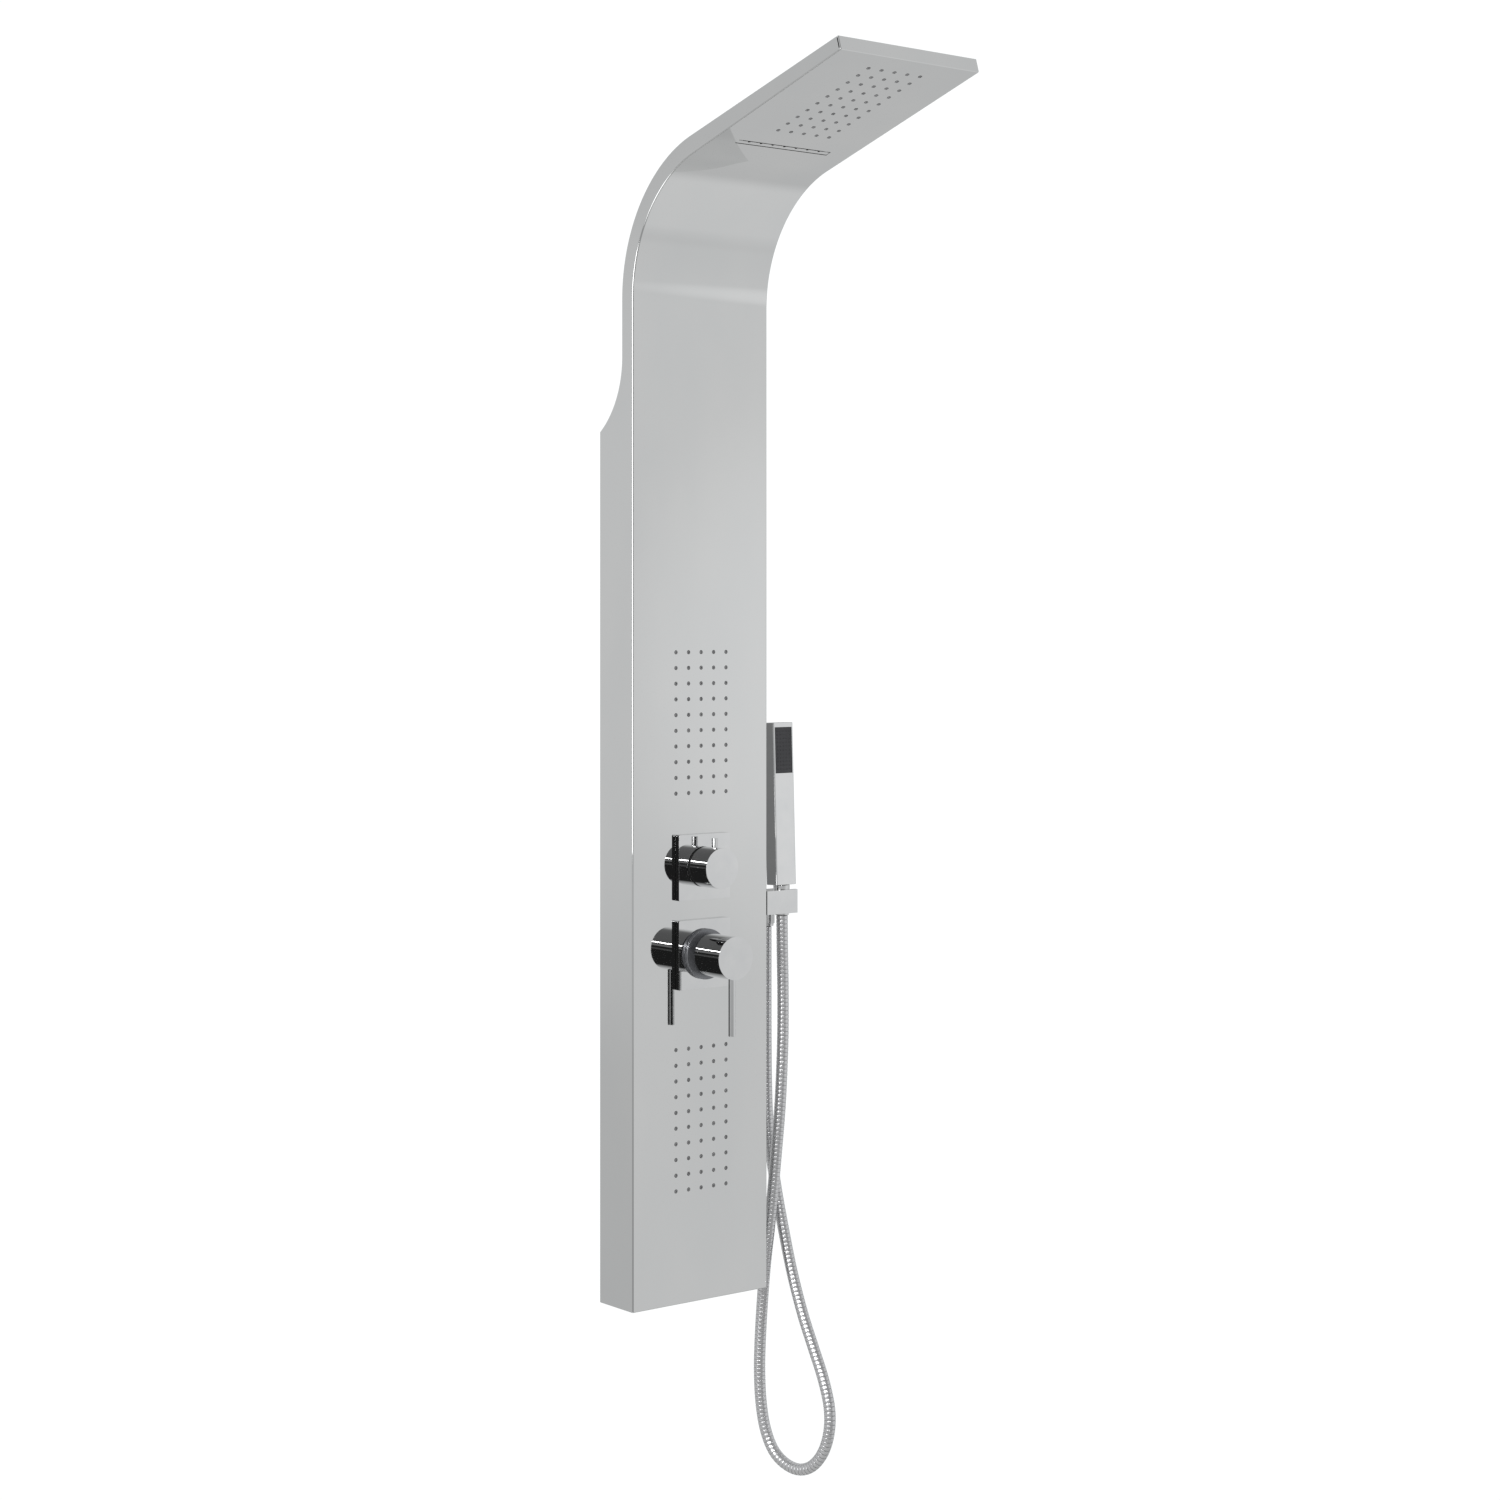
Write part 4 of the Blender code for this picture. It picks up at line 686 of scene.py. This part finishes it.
CORNER_SLIT = 0.0014
slit_start = CANOPY_LENGTH - SHEET - CORNER_SLIT
for side in (-1, 1):
    outer, inner = sorted((side * (PANEL_HALF + BEYOND), side * (PANEL_HALF - 2 * SHEET)))
    slit = block("cutter", (outer, slit_start, 0.0026), (inner, slit_start + CORNER_SLIT, 0.05), CANOPY_FRAME)
    shape_with(panel, slit, "DIFFERENCE")

MIXER_HEIGHT, DIVERTER_HEIGHT = 0.4096, 0.5122
OUTLET_DEPTH, OUTLET_HEIGHT = 0.0370, 0.4600
NECK_HOLE, OUTLET_HOLE = 0.0163, 0.0083
for height in (MIXER_HEIGHT, DIVERTER_HEIGHT):
    neck = [(NECK_HOLE, -0.004), (NECK_HOLE, 0.004)]
    shape_with(panel, drawn_out("cutter", neck, at(spot(0, 0, height), OUTWARD), 64), "DIFFERENCE")
thread = [(OUTLET_HOLE, -0.004), (OUTLET_HOLE, 0.004)]
outlet_spot = spot(PANEL_HALF, OUTLET_DEPTH, OUTLET_HEIGHT)
shape_with(panel, drawn_out("cutter", thread, at(outlet_spot, SIDEWAYS), 32), "DIFFERENCE")
even_shading(panel, 30)
fit(panel, "column", "polished_steel", "front_panel")

# %% [markdown]
# ### The cover on the back
# The thin upper part is closed from behind by a second sheet that lies between the panel's sides. It is the
# same bar with the sheet's own thickness, so its fold runs beside the panel's. The narrow gap round it is
# the dark seam that shows at the tip.

# %% Cover
COVER_SHEET = 0.0010
COVER_START = THIN_HEIGHT + 0.004
cover = folded_bar("back_cover", PANEL_HALF - SHEET - GAP, THIN_DEPTH - COVER_SHEET, THIN_DEPTH, COVER_START,
                   CANOPY_LENGTH - SHEET - GAP, TIP_DEPTH)
soften(cover, 0.00025, 2, 60)
fit(cover, "column", "polished_steel", "canopy_cover")

# %% [markdown]
# ## Nozzles
# A field of nozzles is one moulded rubber mat behind the sheet, with a nub through each hole, so that lime
# can be rubbed off. One nub is drawn out with a collar, a rounded tip and a sunken water hole. It is then
# copied over the grid and joined to its mat.

# %% Nozzle mats
MAT_FRONT = SHEET + GAP
MAT_BACK = MAT_FRONT + 0.0018
MAT_MARGIN = 0.009
FIELD_HALF = COLUMN_PITCH * (COLUMNS - 1) / 2 + MAT_MARGIN
NOZZLE_PROFILE = [
    (0.0018, MAT_FRONT + 0.0008), (0.0018, 0.0001), (0.0019, -0.0001), (0.0019, -0.0004),
    (0.0016, -0.0007), (0.0012, -0.0008), (0.0009, -0.0007), (0.0008, 0.0006),
]
for field, local_frame, first_row, pitch in FIELDS:
    nub = drawn_out("nub", NOZZLE_PROFILE, STILL, 16)
    nubs = copies(nub, nozzle_spots(first_row, pitch), local_frame)
    last_row = first_row + (ROWS - 1) * pitch
    mat = block("mat", (-FIELD_HALF, first_row - MAT_MARGIN, MAT_FRONT),
                (FIELD_HALF, last_row + MAT_MARGIN, MAT_BACK), local_frame)
    soften(mat, 0.0004)
    mat = joined(mat, nubs)
    mat.name = mat.data.name = field + "_rubber"
    even_shading(mat, 40)
    fit(mat, "column", "nozzle_silicone", field + "_mat")

# %% [markdown]
# ## Waterfall outlet
# A steel bar lies behind the slot and almost fills it, so the water leaves as a sheet along its edge. Its
# row of small outlets shows as dark dots.

# %% Waterfall bar
LAND, LAP = 0.0075, 0.004
bar = block("waterfall_bar", (-SLOT_HALF - LAP, SLOT_START - SLOT_WIDTH / 2 - LAND, MAT_FRONT),
            (SLOT_HALF + LAP, SLOT_START + SLOT_WIDTH / 2 + LAND, MAT_BACK), CANOPY_FRAME)
RIB_GAP, NEAR_GAP = 0.0022, 0.0008
rib = block("rib", (-SLOT_HALF + GAP, SLOT_START - SLOT_WIDTH / 2 + NEAR_GAP, 0.0004),
            (SLOT_HALF - GAP, SLOT_START + SLOT_WIDTH / 2 - RIB_GAP, MAT_FRONT + 0.0008), CANOPY_FRAME)
shape_with(bar, rib, "UNION")
for low, high in ((-SLOT_WIDTH / 2, -SLOT_WIDTH / 2 + NEAR_GAP), (SLOT_WIDTH / 2 - RIB_GAP, SLOT_WIDTH / 2)):
    gap = block("cutter", (-SLOT_HALF + LAND, SLOT_START + low, -0.002),
                (SLOT_HALF - LAND, SLOT_START + high, 0.006), CANOPY_FRAME)
    shape_with(bar, gap, "DIFFERENCE")
WATERFALL_HOLES = 7
hole_pitch = 2 * (SLOT_HALF - LAND) / WATERFALL_HOLES
hole_spots = [((i - (WATERFALL_HOLES - 1) / 2) * hole_pitch, SLOT_START + SLOT_WIDTH / 2 - RIB_GAP)
              for i in range(WATERFALL_HOLES)]
outlet = drawn_out("cutter", [(0.0019, -0.002), (0.0019, 0.006)], STILL, 20)
shape_with(bar, copies(outlet, hole_spots, CANOPY_FRAME), "DIFFERENCE")
soften(bar, 0.0002)
fit(bar, "column", "polished_steel", "waterfall_nozzle_bar")

# %% [markdown]
# ## Cover plates
# Each control has a bright plate in front of the sheet. It is a shallow pressed tray: a block whose four
# upright corners are rounded, hollowed from behind by an inset and an extrusion, with a hole for the
# cartridge.

# %% Plates
PLATE_WALL = 0.0015
PLATE_CORNER = 0.0016
for name, node, height in (("selector_plate", "diverter_plate", DIVERTER_HEIGHT),
                           ("lever_plate", "mixer_plate", MIXER_HEIGHT)):
    low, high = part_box(node)
    plate = block(name, low, high)
    edit_edges(plate, lambda a, b: abs(a.y - b.y) > PLATE_WALL)
    bpy.ops.mesh.bevel(offset=PLATE_CORNER, segments=6, affect="EDGES")
    bpy.ops.object.mode_set(mode="OBJECT")
    edit_faces(plate, lambda face: face.normal.y > 0.9)
    bpy.ops.mesh.inset(thickness=PLATE_WALL)
    bpy.ops.mesh.extrude_region_move(TRANSFORM_OT_translate={"value": (0, PLATE_WALL + low.y - high.y, 0)})
    bpy.ops.object.mode_set(mode="OBJECT")
    bore = drawn_out("cutter", [(0.0134, 0), (0.0134, 0.02)], at(spot(0, 0, height), OUTWARD), 64)
    shape_with(plate, bore, "DIFFERENCE")
    soften(plate, 0.0004, 3)
    fit(plate, "column", "chrome_plate", node)

# %% [markdown]
# ## The mixer's front
# A flat satin ring lies on the plate. In front of it stands the handle, a thick-walled drum that hides the
# carrier and its stem, with a rod lever screwed up into it. The drum's long bright side shows every bit of
# the room, so it gets 128 sides and a small soft edge.

# %% Collar, handle and lever
ROUND = 128
mixer_spot = at(spot(0, 0, MIXER_HEIGHT), OUTWARD)
COLLAR_RADIUS = 0.0298
collar_rings = [(0.0145, 0.0120), (COLLAR_RADIUS, 0.0120), (COLLAR_RADIUS, 0.0073), (0.0145, 0.0073)]
collar = drawn_out("satin_collar_ring", collar_rings, mixer_spot, ROUND, bored=True)
soften(collar, 0.0005, 3)
fit(collar, "column", "satin_collar", "mixer_collar")

HANDLE_RADIUS, HANDLE_REAR, HANDLE_FRONT = 0.0252, 0.0205, 0.0660
LEVER_OUT = 0.0590
handle_rings = [
    (HANDLE_RADIUS, HANDLE_FRONT), (HANDLE_RADIUS, HANDLE_REAR), (0.0227, HANDLE_REAR),
    (0.0227, 0.0510), (0.0090, 0.0510), (0.0090, 0.0340),
]
handle = drawn_out("handle_drum", handle_rings, mixer_spot, ROUND)
socket = block("cutter", (-0.0053, -0.0043, 0.032), (0.0053, 0.0043, 0.0493), mixer_spot)
shape_with(handle, socket, "DIFFERENCE")
lever_place = at(spot(0, -LEVER_OUT, MIXER_HEIGHT), UPSIDE_DOWN)
shape_with(handle, drawn_out("cutter", [(0.0045, 0.014), (0.0045, 0.030)], lever_place, 64), "DIFFERENCE")
grub_place = at(spot(0, -0.0420, MIXER_HEIGHT), UPSIDE_DOWN)
shape_with(handle, drawn_out("cutter", [(0.0028, 0.003), (0.0028, 0.030)], grub_place, 32), "DIFFERENCE")
soften(handle, 0.0005, 3)
fit(handle, "mixer_handle_body", "chrome_plate", "mixer_handle")

LEVER_RADIUS = 0.0041
lever_rings = [(0.0034, 0.0143), (0.0034, 0.0235), (LEVER_RADIUS, 0.0235), (LEVER_RADIUS, 0.0912)]
lever = drawn_out("lever_rod", lever_rings, lever_place, 64)
soften(lever, 0.0006, 4)
fit(lever, "mixer_handle_body", "chrome_plate", "mixer_lever")

grub = drawn_out("grub_screw", [(0.0025, 0.0043), (0.0025, 0.0098)], grub_place, 32)
shape_with(grub, drawn_out("cutter", [(0.0013, 0.0070), (0.0013, 0.0110)], grub_place, 6), "DIFFERENCE")
soften(grub, 0.0003)
fit(grub, "mixer_handle_body", "bracket_steel", "mixer_grub_screw")

# %% [markdown]
# ## The outlet selector
# The knob is a solid turned piece, hollow only at its back. A black rubber ring behind it takes up the
# shadow gap, and a short pin on its rim gives the fingers a hold and shows which outlet is on.

# %% Knob, pin and gasket
knob_spot = at(spot(0, 0, DIVERTER_HEIGHT), OUTWARD)
gasket_rings = [(0.0134, 0.0091), (0.0232, 0.0091), (0.0232, 0.0073), (0.0134, 0.0073)]
gasket = drawn_out("rubber_ring", gasket_rings, knob_spot, ROUND, bored=True)
soften(gasket, 0.0004)
fit(gasket, "column", "rubber_gasket", "diverter_gasket")

KNOB_RADIUS, KNOB_FRONT, KNOB_REAR = 0.0239, 0.0407, 0.0095
knob_rings = [(KNOB_RADIUS, KNOB_FRONT), (KNOB_RADIUS, KNOB_REAR), (0.0204, KNOB_REAR), (0.0204, 0.0180)]
knob = drawn_out("selector_knob", knob_rings, knob_spot, ROUND)
shape_with(knob, drawn_out("cutter", [(0.0043, 0.015), (0.0043, 0.0323)], knob_spot, 48), "DIFFERENCE")
pin_place = at(spot(0, -0.0263, DIVERTER_HEIGHT))
shape_with(knob, drawn_out("cutter", [(0.0039, 0.015), (0.0039, 0.030)], pin_place, 48), "DIFFERENCE")
soften(knob, 0.0005, 3)
fit(knob, "diverter_knob_body", "chrome_plate", "diverter_knob")

PIN_RADIUS = 0.0036
pin_rings = [(0.0032, 0.0153), (0.0032, 0.0222), (PIN_RADIUS, 0.0222), (PIN_RADIUS, 0.0346)]
pin = drawn_out("finger_pin", pin_rings, pin_place, 48)
soften(pin, 0.0004, 3)
fit(pin, "diverter_knob_body", "chrome_plate", "diverter_grip_pin")

# %% [markdown]
# ## The hand shower
# A flat stick of square section stands in the holder. It leans back by two degrees, so it is modelled
# upright about its own axis and then placed with that lean. Its spray face is a dark moulding with rows of
# small nubs.

# %% Holder
HAND_LEAN = Matrix.Rotation(math.radians(-2.0), 4, "X")
hand_place = at(spot(0.1325, 0.0120, 0.4620), HAND_LEAN)
NUT_LOW, NUT_HIGH = (0.0082, -0.0170), (0.0102, 0.0195)
NUT_SLOPE = (NUT_HIGH[0] - NUT_LOW[0]) / (NUT_HIGH[1] - NUT_LOW[1])


def seat_radius(height):
    return NUT_LOW[0] + NUT_SLOPE * (height - NUT_LOW[1]) + GAP


holder_low, holder_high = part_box("handset_holder")
holder = block("side_holder", holder_low, holder_high)
cone = drawn_out("cutter", [(seat_radius(-0.03), -0.03), (seat_radius(0.03), 0.03)], hand_place, 96)
shape_with(holder, cone, "DIFFERENCE")
shape_with(holder, block("cutter", (0, -0.0075, -0.03), (0.04, 0.0075, 0.03), hand_place), "DIFFERENCE")
soften(holder, 0.0007, 3)
fit(holder, "column", "chrome_plate", "handset_holder")

# %% Cone nut
nut_rings = [
    (0.0073, NUT_HIGH[1]), (0.0098, NUT_HIGH[1]), NUT_HIGH[:1] + (0.0185,), (seat_radius(0.010) - GAP, 0.010),
    (seat_radius(0.0095) - 3 * GAP, 0.0095), (seat_radius(0.0085) - 3 * GAP, 0.0085),
    (seat_radius(0.008) - GAP, 0.008), NUT_LOW, (0.0040, NUT_LOW[1]), (0.0040, 0.0045), (0.0073, 0.0045),
]
nut = drawn_out("cone_nut", nut_rings, hand_place, 96, bored=True)
soften(nut, 0.0003)
fit(nut, "hose_nut_body", "chrome_plate", "handset_hose_nut")

# %% Stick body
HAND_LOW = 0.0199
HAND_TALL, HAND_HALF, HAND_DEEP = 0.1965, 0.0155, 0.0100
stick = block("hand_shower_stick", (-HAND_HALF, -HAND_DEEP, HAND_LOW),
              (HAND_HALF, HAND_DEEP, HAND_LOW + HAND_TALL))
edit_edges(stick, lambda a, b: abs(a.z - b.z) > HAND_HALF)
bpy.ops.mesh.bevel(offset=0.0017, segments=5, affect="EDGES")
bpy.ops.object.mode_set(mode="OBJECT")
FACE_HALF, FACE_TALL = 0.0128, 0.0546
FACE_TOP = HAND_LOW + HAND_TALL - 0.0062
FACE_BACK = -HAND_DEEP + 0.0016
recess = block("cutter", (-FACE_HALF - GAP, -0.02, FACE_TOP - FACE_TALL - GAP),
               (FACE_HALF + GAP, FACE_BACK, FACE_TOP + GAP))
shape_with(stick, recess, "DIFFERENCE")
neck = drawn_out("neck", [(0.0069, HAND_LOW - 0.0120), (0.0069, HAND_LOW + 0.001)], STILL, 48)
shape_with(stick, neck, "UNION")
settle(stick, hand_place)
soften(stick, 0.0005, 3)
fit(stick, "handset", "chrome_plate", "handset_body")

# %% Spray face
NUB_COLUMNS, NUB_ROWS = 5, 11
NUB_PITCH = 0.0046
face = block("plate", (-FACE_HALF, -HAND_DEEP + 0.0004, FACE_TOP - FACE_TALL),
             (FACE_HALF, FACE_BACK - GAP, FACE_TOP))
soften(face, 0.0003)
SPRAY_FRAME = at(Vector((0, -HAND_DEEP + 0.0004, FACE_TOP - FACE_TALL / 2)), OUTWARD)
nub_spots = [((i - (NUB_COLUMNS - 1) / 2) * NUB_PITCH, (j - (NUB_ROWS - 1) / 2) * NUB_PITCH)
             for i in range(NUB_COLUMNS) for j in range(NUB_ROWS)]
nub = drawn_out("nub", [(0.0011, -0.0004), (0.0010, 0.0001), (0.0007, 0.0004), (0.0004, 0.0004),
                        (0.0004, -0.0001)], STILL, 12)
nubs = copies(nub, nub_spots, SPRAY_FRAME)
face = joined(face, nubs)
face.name = face.data.name = "spray_face"
settle(face, hand_place)
even_shading(face, 40)
fit(face, "handset", "handset_nozzle_face", "handset_face")

# %% [markdown]
# ## The hose's outlet
# The hose ends in a nut with grip ribs, screwed onto an elbow that comes out of the panel's side behind the
# holder. The ribs are every other face of the nut's wall, inset and pushed in.

# %% Ribbed nut and elbow
outlet_place = at(spot(0.128, OUTLET_DEPTH, OUTLET_HEIGHT), UPSIDE_DOWN)
NUT_TOP, NUT_END, NUT_WIDE = 0.0123, 0.0298, 0.0105
rib_rings = [
    (0.0073, NUT_TOP), (0.0099, NUT_TOP), (NUT_WIDE, NUT_TOP + 0.0008), (NUT_WIDE, NUT_END - 0.0035),
    (0.0094, NUT_END - 0.0028), (0.0092, NUT_END), (0.0042, NUT_END), (0.0042, 0.0214), (0.0073, 0.0214),
]
ribbed = drawn_out("ribbed_nut", rib_rings, STILL, 48, bored=True)
wall_middle = (NUT_TOP + 0.0008 + NUT_END - 0.0035) / 2


def every_other_wall_face(face):
    turn = math.atan2(face.center.y, face.center.x) / (2 * math.pi) * 48
    on_wall = abs(face.center.z - wall_middle) < 0.002 and face.center.xy.length > 0.010
    return on_wall and int(turn // 1) % 2 == 0


edit_faces(ribbed, every_other_wall_face)
bpy.ops.mesh.inset(thickness=0.0003, depth=-0.0005, use_individual=True)
bpy.ops.object.mode_set(mode="OBJECT")
settle(ribbed, outlet_place)
even_shading(ribbed, 25)
fit(ribbed, "column", "chrome_plate", "outlet_hose_nut")


def bench_copy(name, node, bevel=None, angle=35, rounds=0):
    """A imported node's own shape as a new piece: merged, cleaned, and softened or rounded."""
    source = frame["nodes"][node]
    piece = bpy.data.objects.new(name, source.data.copy())
    bpy.context.scene.collection.objects.link(piece)
    pick(piece)
    bpy.ops.object.mode_set(mode="EDIT")
    bpy.ops.mesh.select_all(action="SELECT")
    bpy.ops.mesh.remove_doubles(threshold=0.000001)
    bpy.ops.mesh.dissolve_limited(angle_limit=math.radians(1))
    bpy.ops.object.mode_set(mode="OBJECT")
    if rounds:
        edit_faces(piece, lambda face: len(face.vertices) > 6)
        bpy.ops.transform.edge_crease(value=1)
        bpy.ops.object.mode_set(mode="OBJECT")
        finer = piece.modifiers.new("rounder", "SUBSURF")
        finer.levels = finer.render_levels = rounds
        bpy.ops.object.modifier_apply(modifier=finer.name)
    if bevel:
        soften(piece, bevel, 2, angle)
    else:
        even_shading(piece, angle)
    return piece


elbow = bench_copy("side_elbow", "outlet_elbow", None, 30)
fit(elbow, "column", "chrome_plate", "outlet_elbow")

# %% [markdown]
# ## Behind the panel
# From behind one sees the brackets, the rails that hook over them, the two valve bodies, their unions and
# the hoses. Their imported shapes are right and only need the soft edges that a workshop leaves on the
# folded straps, mouldings and castings. So these pieces start as copies of the imported nodes.

# %% Straps, boxes and small turned pieces
for name, node, slot, bevel in (
    ("upper_bracket", "upper_wall_bracket", "bracket_steel", 0.0005),
    ("lower_bracket", "lower_wall_bracket", "bracket_steel", 0.0005),
    ("upper_rail", "upper_hook_rail", "bracket_steel", 0.0005),
    ("lower_rail", "lower_hook_rail", "bracket_steel", 0.0005),
    ("upper_jet_box", "upper_jet_manifold", "white_moulding", 0.0008),
    ("lower_jet_box", "lower_jet_manifold", "white_moulding", 0.0008),
    ("rain_box", "rain_chamber", "white_moulding", 0.0008),
    ("waterfall_box", "waterfall_chamber", "white_moulding", 0.0008),
    ("mixer_casting", "mixer_body", "cast_brass", 0.0006),
    ("selector_casting", "diverter_body", "cast_brass", 0.0006),
):
    fit(bench_copy(name, node, bevel), "column", slot, node)

# %% Hoses inside the panel
for name, node in (
    ("rain_feed", "rain_hose"), ("waterfall_feed", "waterfall_hose"), ("upper_jet_feed", "upper_jet_hose"),
    ("lower_jet_feed", "lower_jet_hose"), ("hand_shower_feed", "hand_outlet_hose"),
):
    fit(bench_copy(name, node, None, 60, 1), "column", "feed_hose", node)

# %% What stays as it was packed
packed_slots = {part["node"]: part["material_slot"] for part in frame["record"]["subparts"]}
kept = []
for name, node in frame["nodes"].items():
    if not node.hide_render:
        node.data.materials.clear()
        node.data.materials.append(finishes[packed_slots[name]])
        kept.append(name)
print("packed nodes that still show:", kept)

# %% [markdown]
# ## Room and light
# Chrome needs a room to show. The room is a sky painted by direction: white behind the column and light
# grey to the sides, with soft patches added or taken away round chosen directions. The darkest ones, low on
# the user's side, count mostly for light that has already gone from one piece to another, which gives the
# knobs their black bands. These patches were placed for the main camera. Seen from other sides the steel
# shows other parts of the same room, so a floor keeps what it shows at first hand from going black. A plain
# even sky would be simpler and kinder to every view, at the cost of those bands. A narrow soft light hangs
# above the camera, a tall one stands to the left, and a pale round floor lies under the column.

# %% Sky
world = bpy.data.worlds.new("room")
bpy.context.scene.world = world
world.use_nodes = True
nodes, links = world.node_tree.nodes, world.node_tree.links
sky = nodes["Background"]
direction = nodes.new("ShaderNodeTexCoord").outputs["Generated"]


def glow(level, towards, start, full, low, high):
    """Adds a soft patch of brightness round a direction: from low at start to high at full, by cosine."""
    dot = nodes.new("ShaderNodeVectorMath")
    dot.operation = "DOT_PRODUCT"
    dot.inputs[1].default_value = Vector(towards).normalized()
    links.new(direction, dot.inputs[0])
    patch = nodes.new("ShaderNodeMapRange")
    patch.interpolation_type = "SMOOTHSTEP"
    patch.inputs["From Min"].default_value = start
    patch.inputs["From Max"].default_value = full
    patch.inputs["To Min"].default_value = low
    patch.inputs["To Max"].default_value = high
    links.new(dot.outputs["Value"], patch.inputs["Value"])
    if level is None:
        return patch.outputs["Result"]
    total = nodes.new("ShaderNodeMath")
    total.operation = "ADD"
    links.new(level, total.inputs[0])
    links.new(patch.outputs["Result"], total.inputs[1])
    return total.outputs["Value"]


def combined(first, second, operation):
    both = nodes.new("ShaderNodeMath")
    both.operation = operation
    links.new(first, both.inputs[0])
    links.new(second, both.inputs[1])
    return both.outputs["Value"]


# direction, cosine where the patch starts, cosine where it is full, brightness added
SOFT_PATCHES = (
    ((1, 0, -0.3), -0.3, 0.75, 0.10),
    ((0.64, -0.74, -0.15), 0.86, 0.95, 0.095),
    ((0.60, -0.20, -0.77), 0.88, 0.96, 0.14),
    ((0.665, -0.747, -0.02), 0.9925, 0.9995, 0.13),
    ((-0.61, 0.79, 0), 0.70, 0.95, 0.045),
    ((-0.61, 0.79, 0), 0.985, 0.998, 0.11),
    ((-0.76, -0.02, -0.63), 0.93, 0.98, 1.8),
    ((0.62, 0.78, -0.08), 0.94, 0.985, -0.35),
    ((-0.15, -0.78, 0.60), 0.70, 0.90, -0.46),
    ((0.60, -0.05, 0.80), 0.93, 0.98, -0.40),
)
DARK_PATCHES = (
    ((-0.60, -0.75, -0.28), 0.62, 0.84, -0.56),
    ((-0.05, -0.98, -0.20), 0.84, 0.93, -0.56),
    ((-0.97, -0.25, -0.15), 0.90, 0.97, -0.42),
)
level = glow(None, (0, 0, 1), -0.6, 0.9, 0.52, 0.62)
for towards, start, full, added in SOFT_PATCHES:
    level = glow(level, towards, start, full, 0, added)
dark = None
for towards, start, full, added in DARK_PATCHES:
    dark = glow(dark, towards, start, full, 0, added)
below_eye = glow(None, (0, 0, 1), -0.075, -0.03, 1, 0)
well_below_eye = glow(None, (0, 0, 1), -0.40, -0.08, 1, 0)
path = nodes.new("ShaderNodeLightPath").outputs
second_bounce = between(nodes, links, path["Ray Depth"], 0, 1, 2, 3)
shade = combined(well_below_eye, combined(below_eye, second_bounce, "MULTIPLY"), "MAXIMUM")
level = combined(level, combined(dark, shade, "MULTIPLY"), "ADD")
onlooker = glow(None, (-0.62, -0.78, 0.02), 0.985, 0.995, 0, -0.45)
level = combined(level, combined(onlooker, second_bounce, "MULTIPLY"), "ADD")
floor_of_level = nodes.new("ShaderNodeMath")
floor_of_level.operation = "MAXIMUM"
links.new(level, floor_of_level.inputs[0])
FIRST_FLOOR, LATER_FLOOR = 0.38, 0.02
floors = between(nodes, links, path["Ray Depth"], FIRST_FLOOR, LATER_FLOOR, 2, 3)
links.new(floors, floor_of_level.inputs[1])
brightness = nodes.new("ShaderNodeMix")
links.new(path["Is Camera Ray"], brightness.inputs["Factor"])
links.new(floor_of_level.outputs["Value"], brightness.inputs["A"])
brightness.inputs["B"].default_value = 1.05
links.new(brightness.outputs["Result"], sky.inputs["Strength"])
sky.inputs["Color"].default_value = (0.985, 0.995, 1.0, 1)

# %% Lights and floor
def soft_light(name, place, width, height, power):
    data = bpy.data.lights.new(name, "AREA")
    data.shape = "RECTANGLE"
    data.size, data.size_y = width, height
    data.energy = power
    light = bpy.data.objects.new(name, data)
    light.location = place
    light.rotation_euler = (Vector((0, 0, -0.3)) - Vector(place)).to_track_quat("-Z", "Y").to_euler()
    bpy.context.scene.collection.objects.link(light)
    return light


soft_light("strip_over_camera", (-2.6, -3.3, 0.95), 2.4, 0.10, 30)
soft_light("tall_strip_on_the_left", (-3.5, -0.95, 0.25), 1.3, 2.0, 34)

FLOOR_UNDER = 0.80
bpy.ops.mesh.primitive_circle_add(vertices=96, radius=1.2, fill_type="NGON",
                                  location=(0, -0.2, LOWER_EDGE - FLOOR_UNDER))
floor = bpy.context.object
floor.name = "floor"
nodes, links, shader = new_finish("pale_floor", (0.82, 0.82, 0.81), 0.6)
floor.data.materials.append(finishes["pale_floor"])
bpy.context.scene.view_settings.view_transform = "Standard"
print("sky, lights and floor are set")
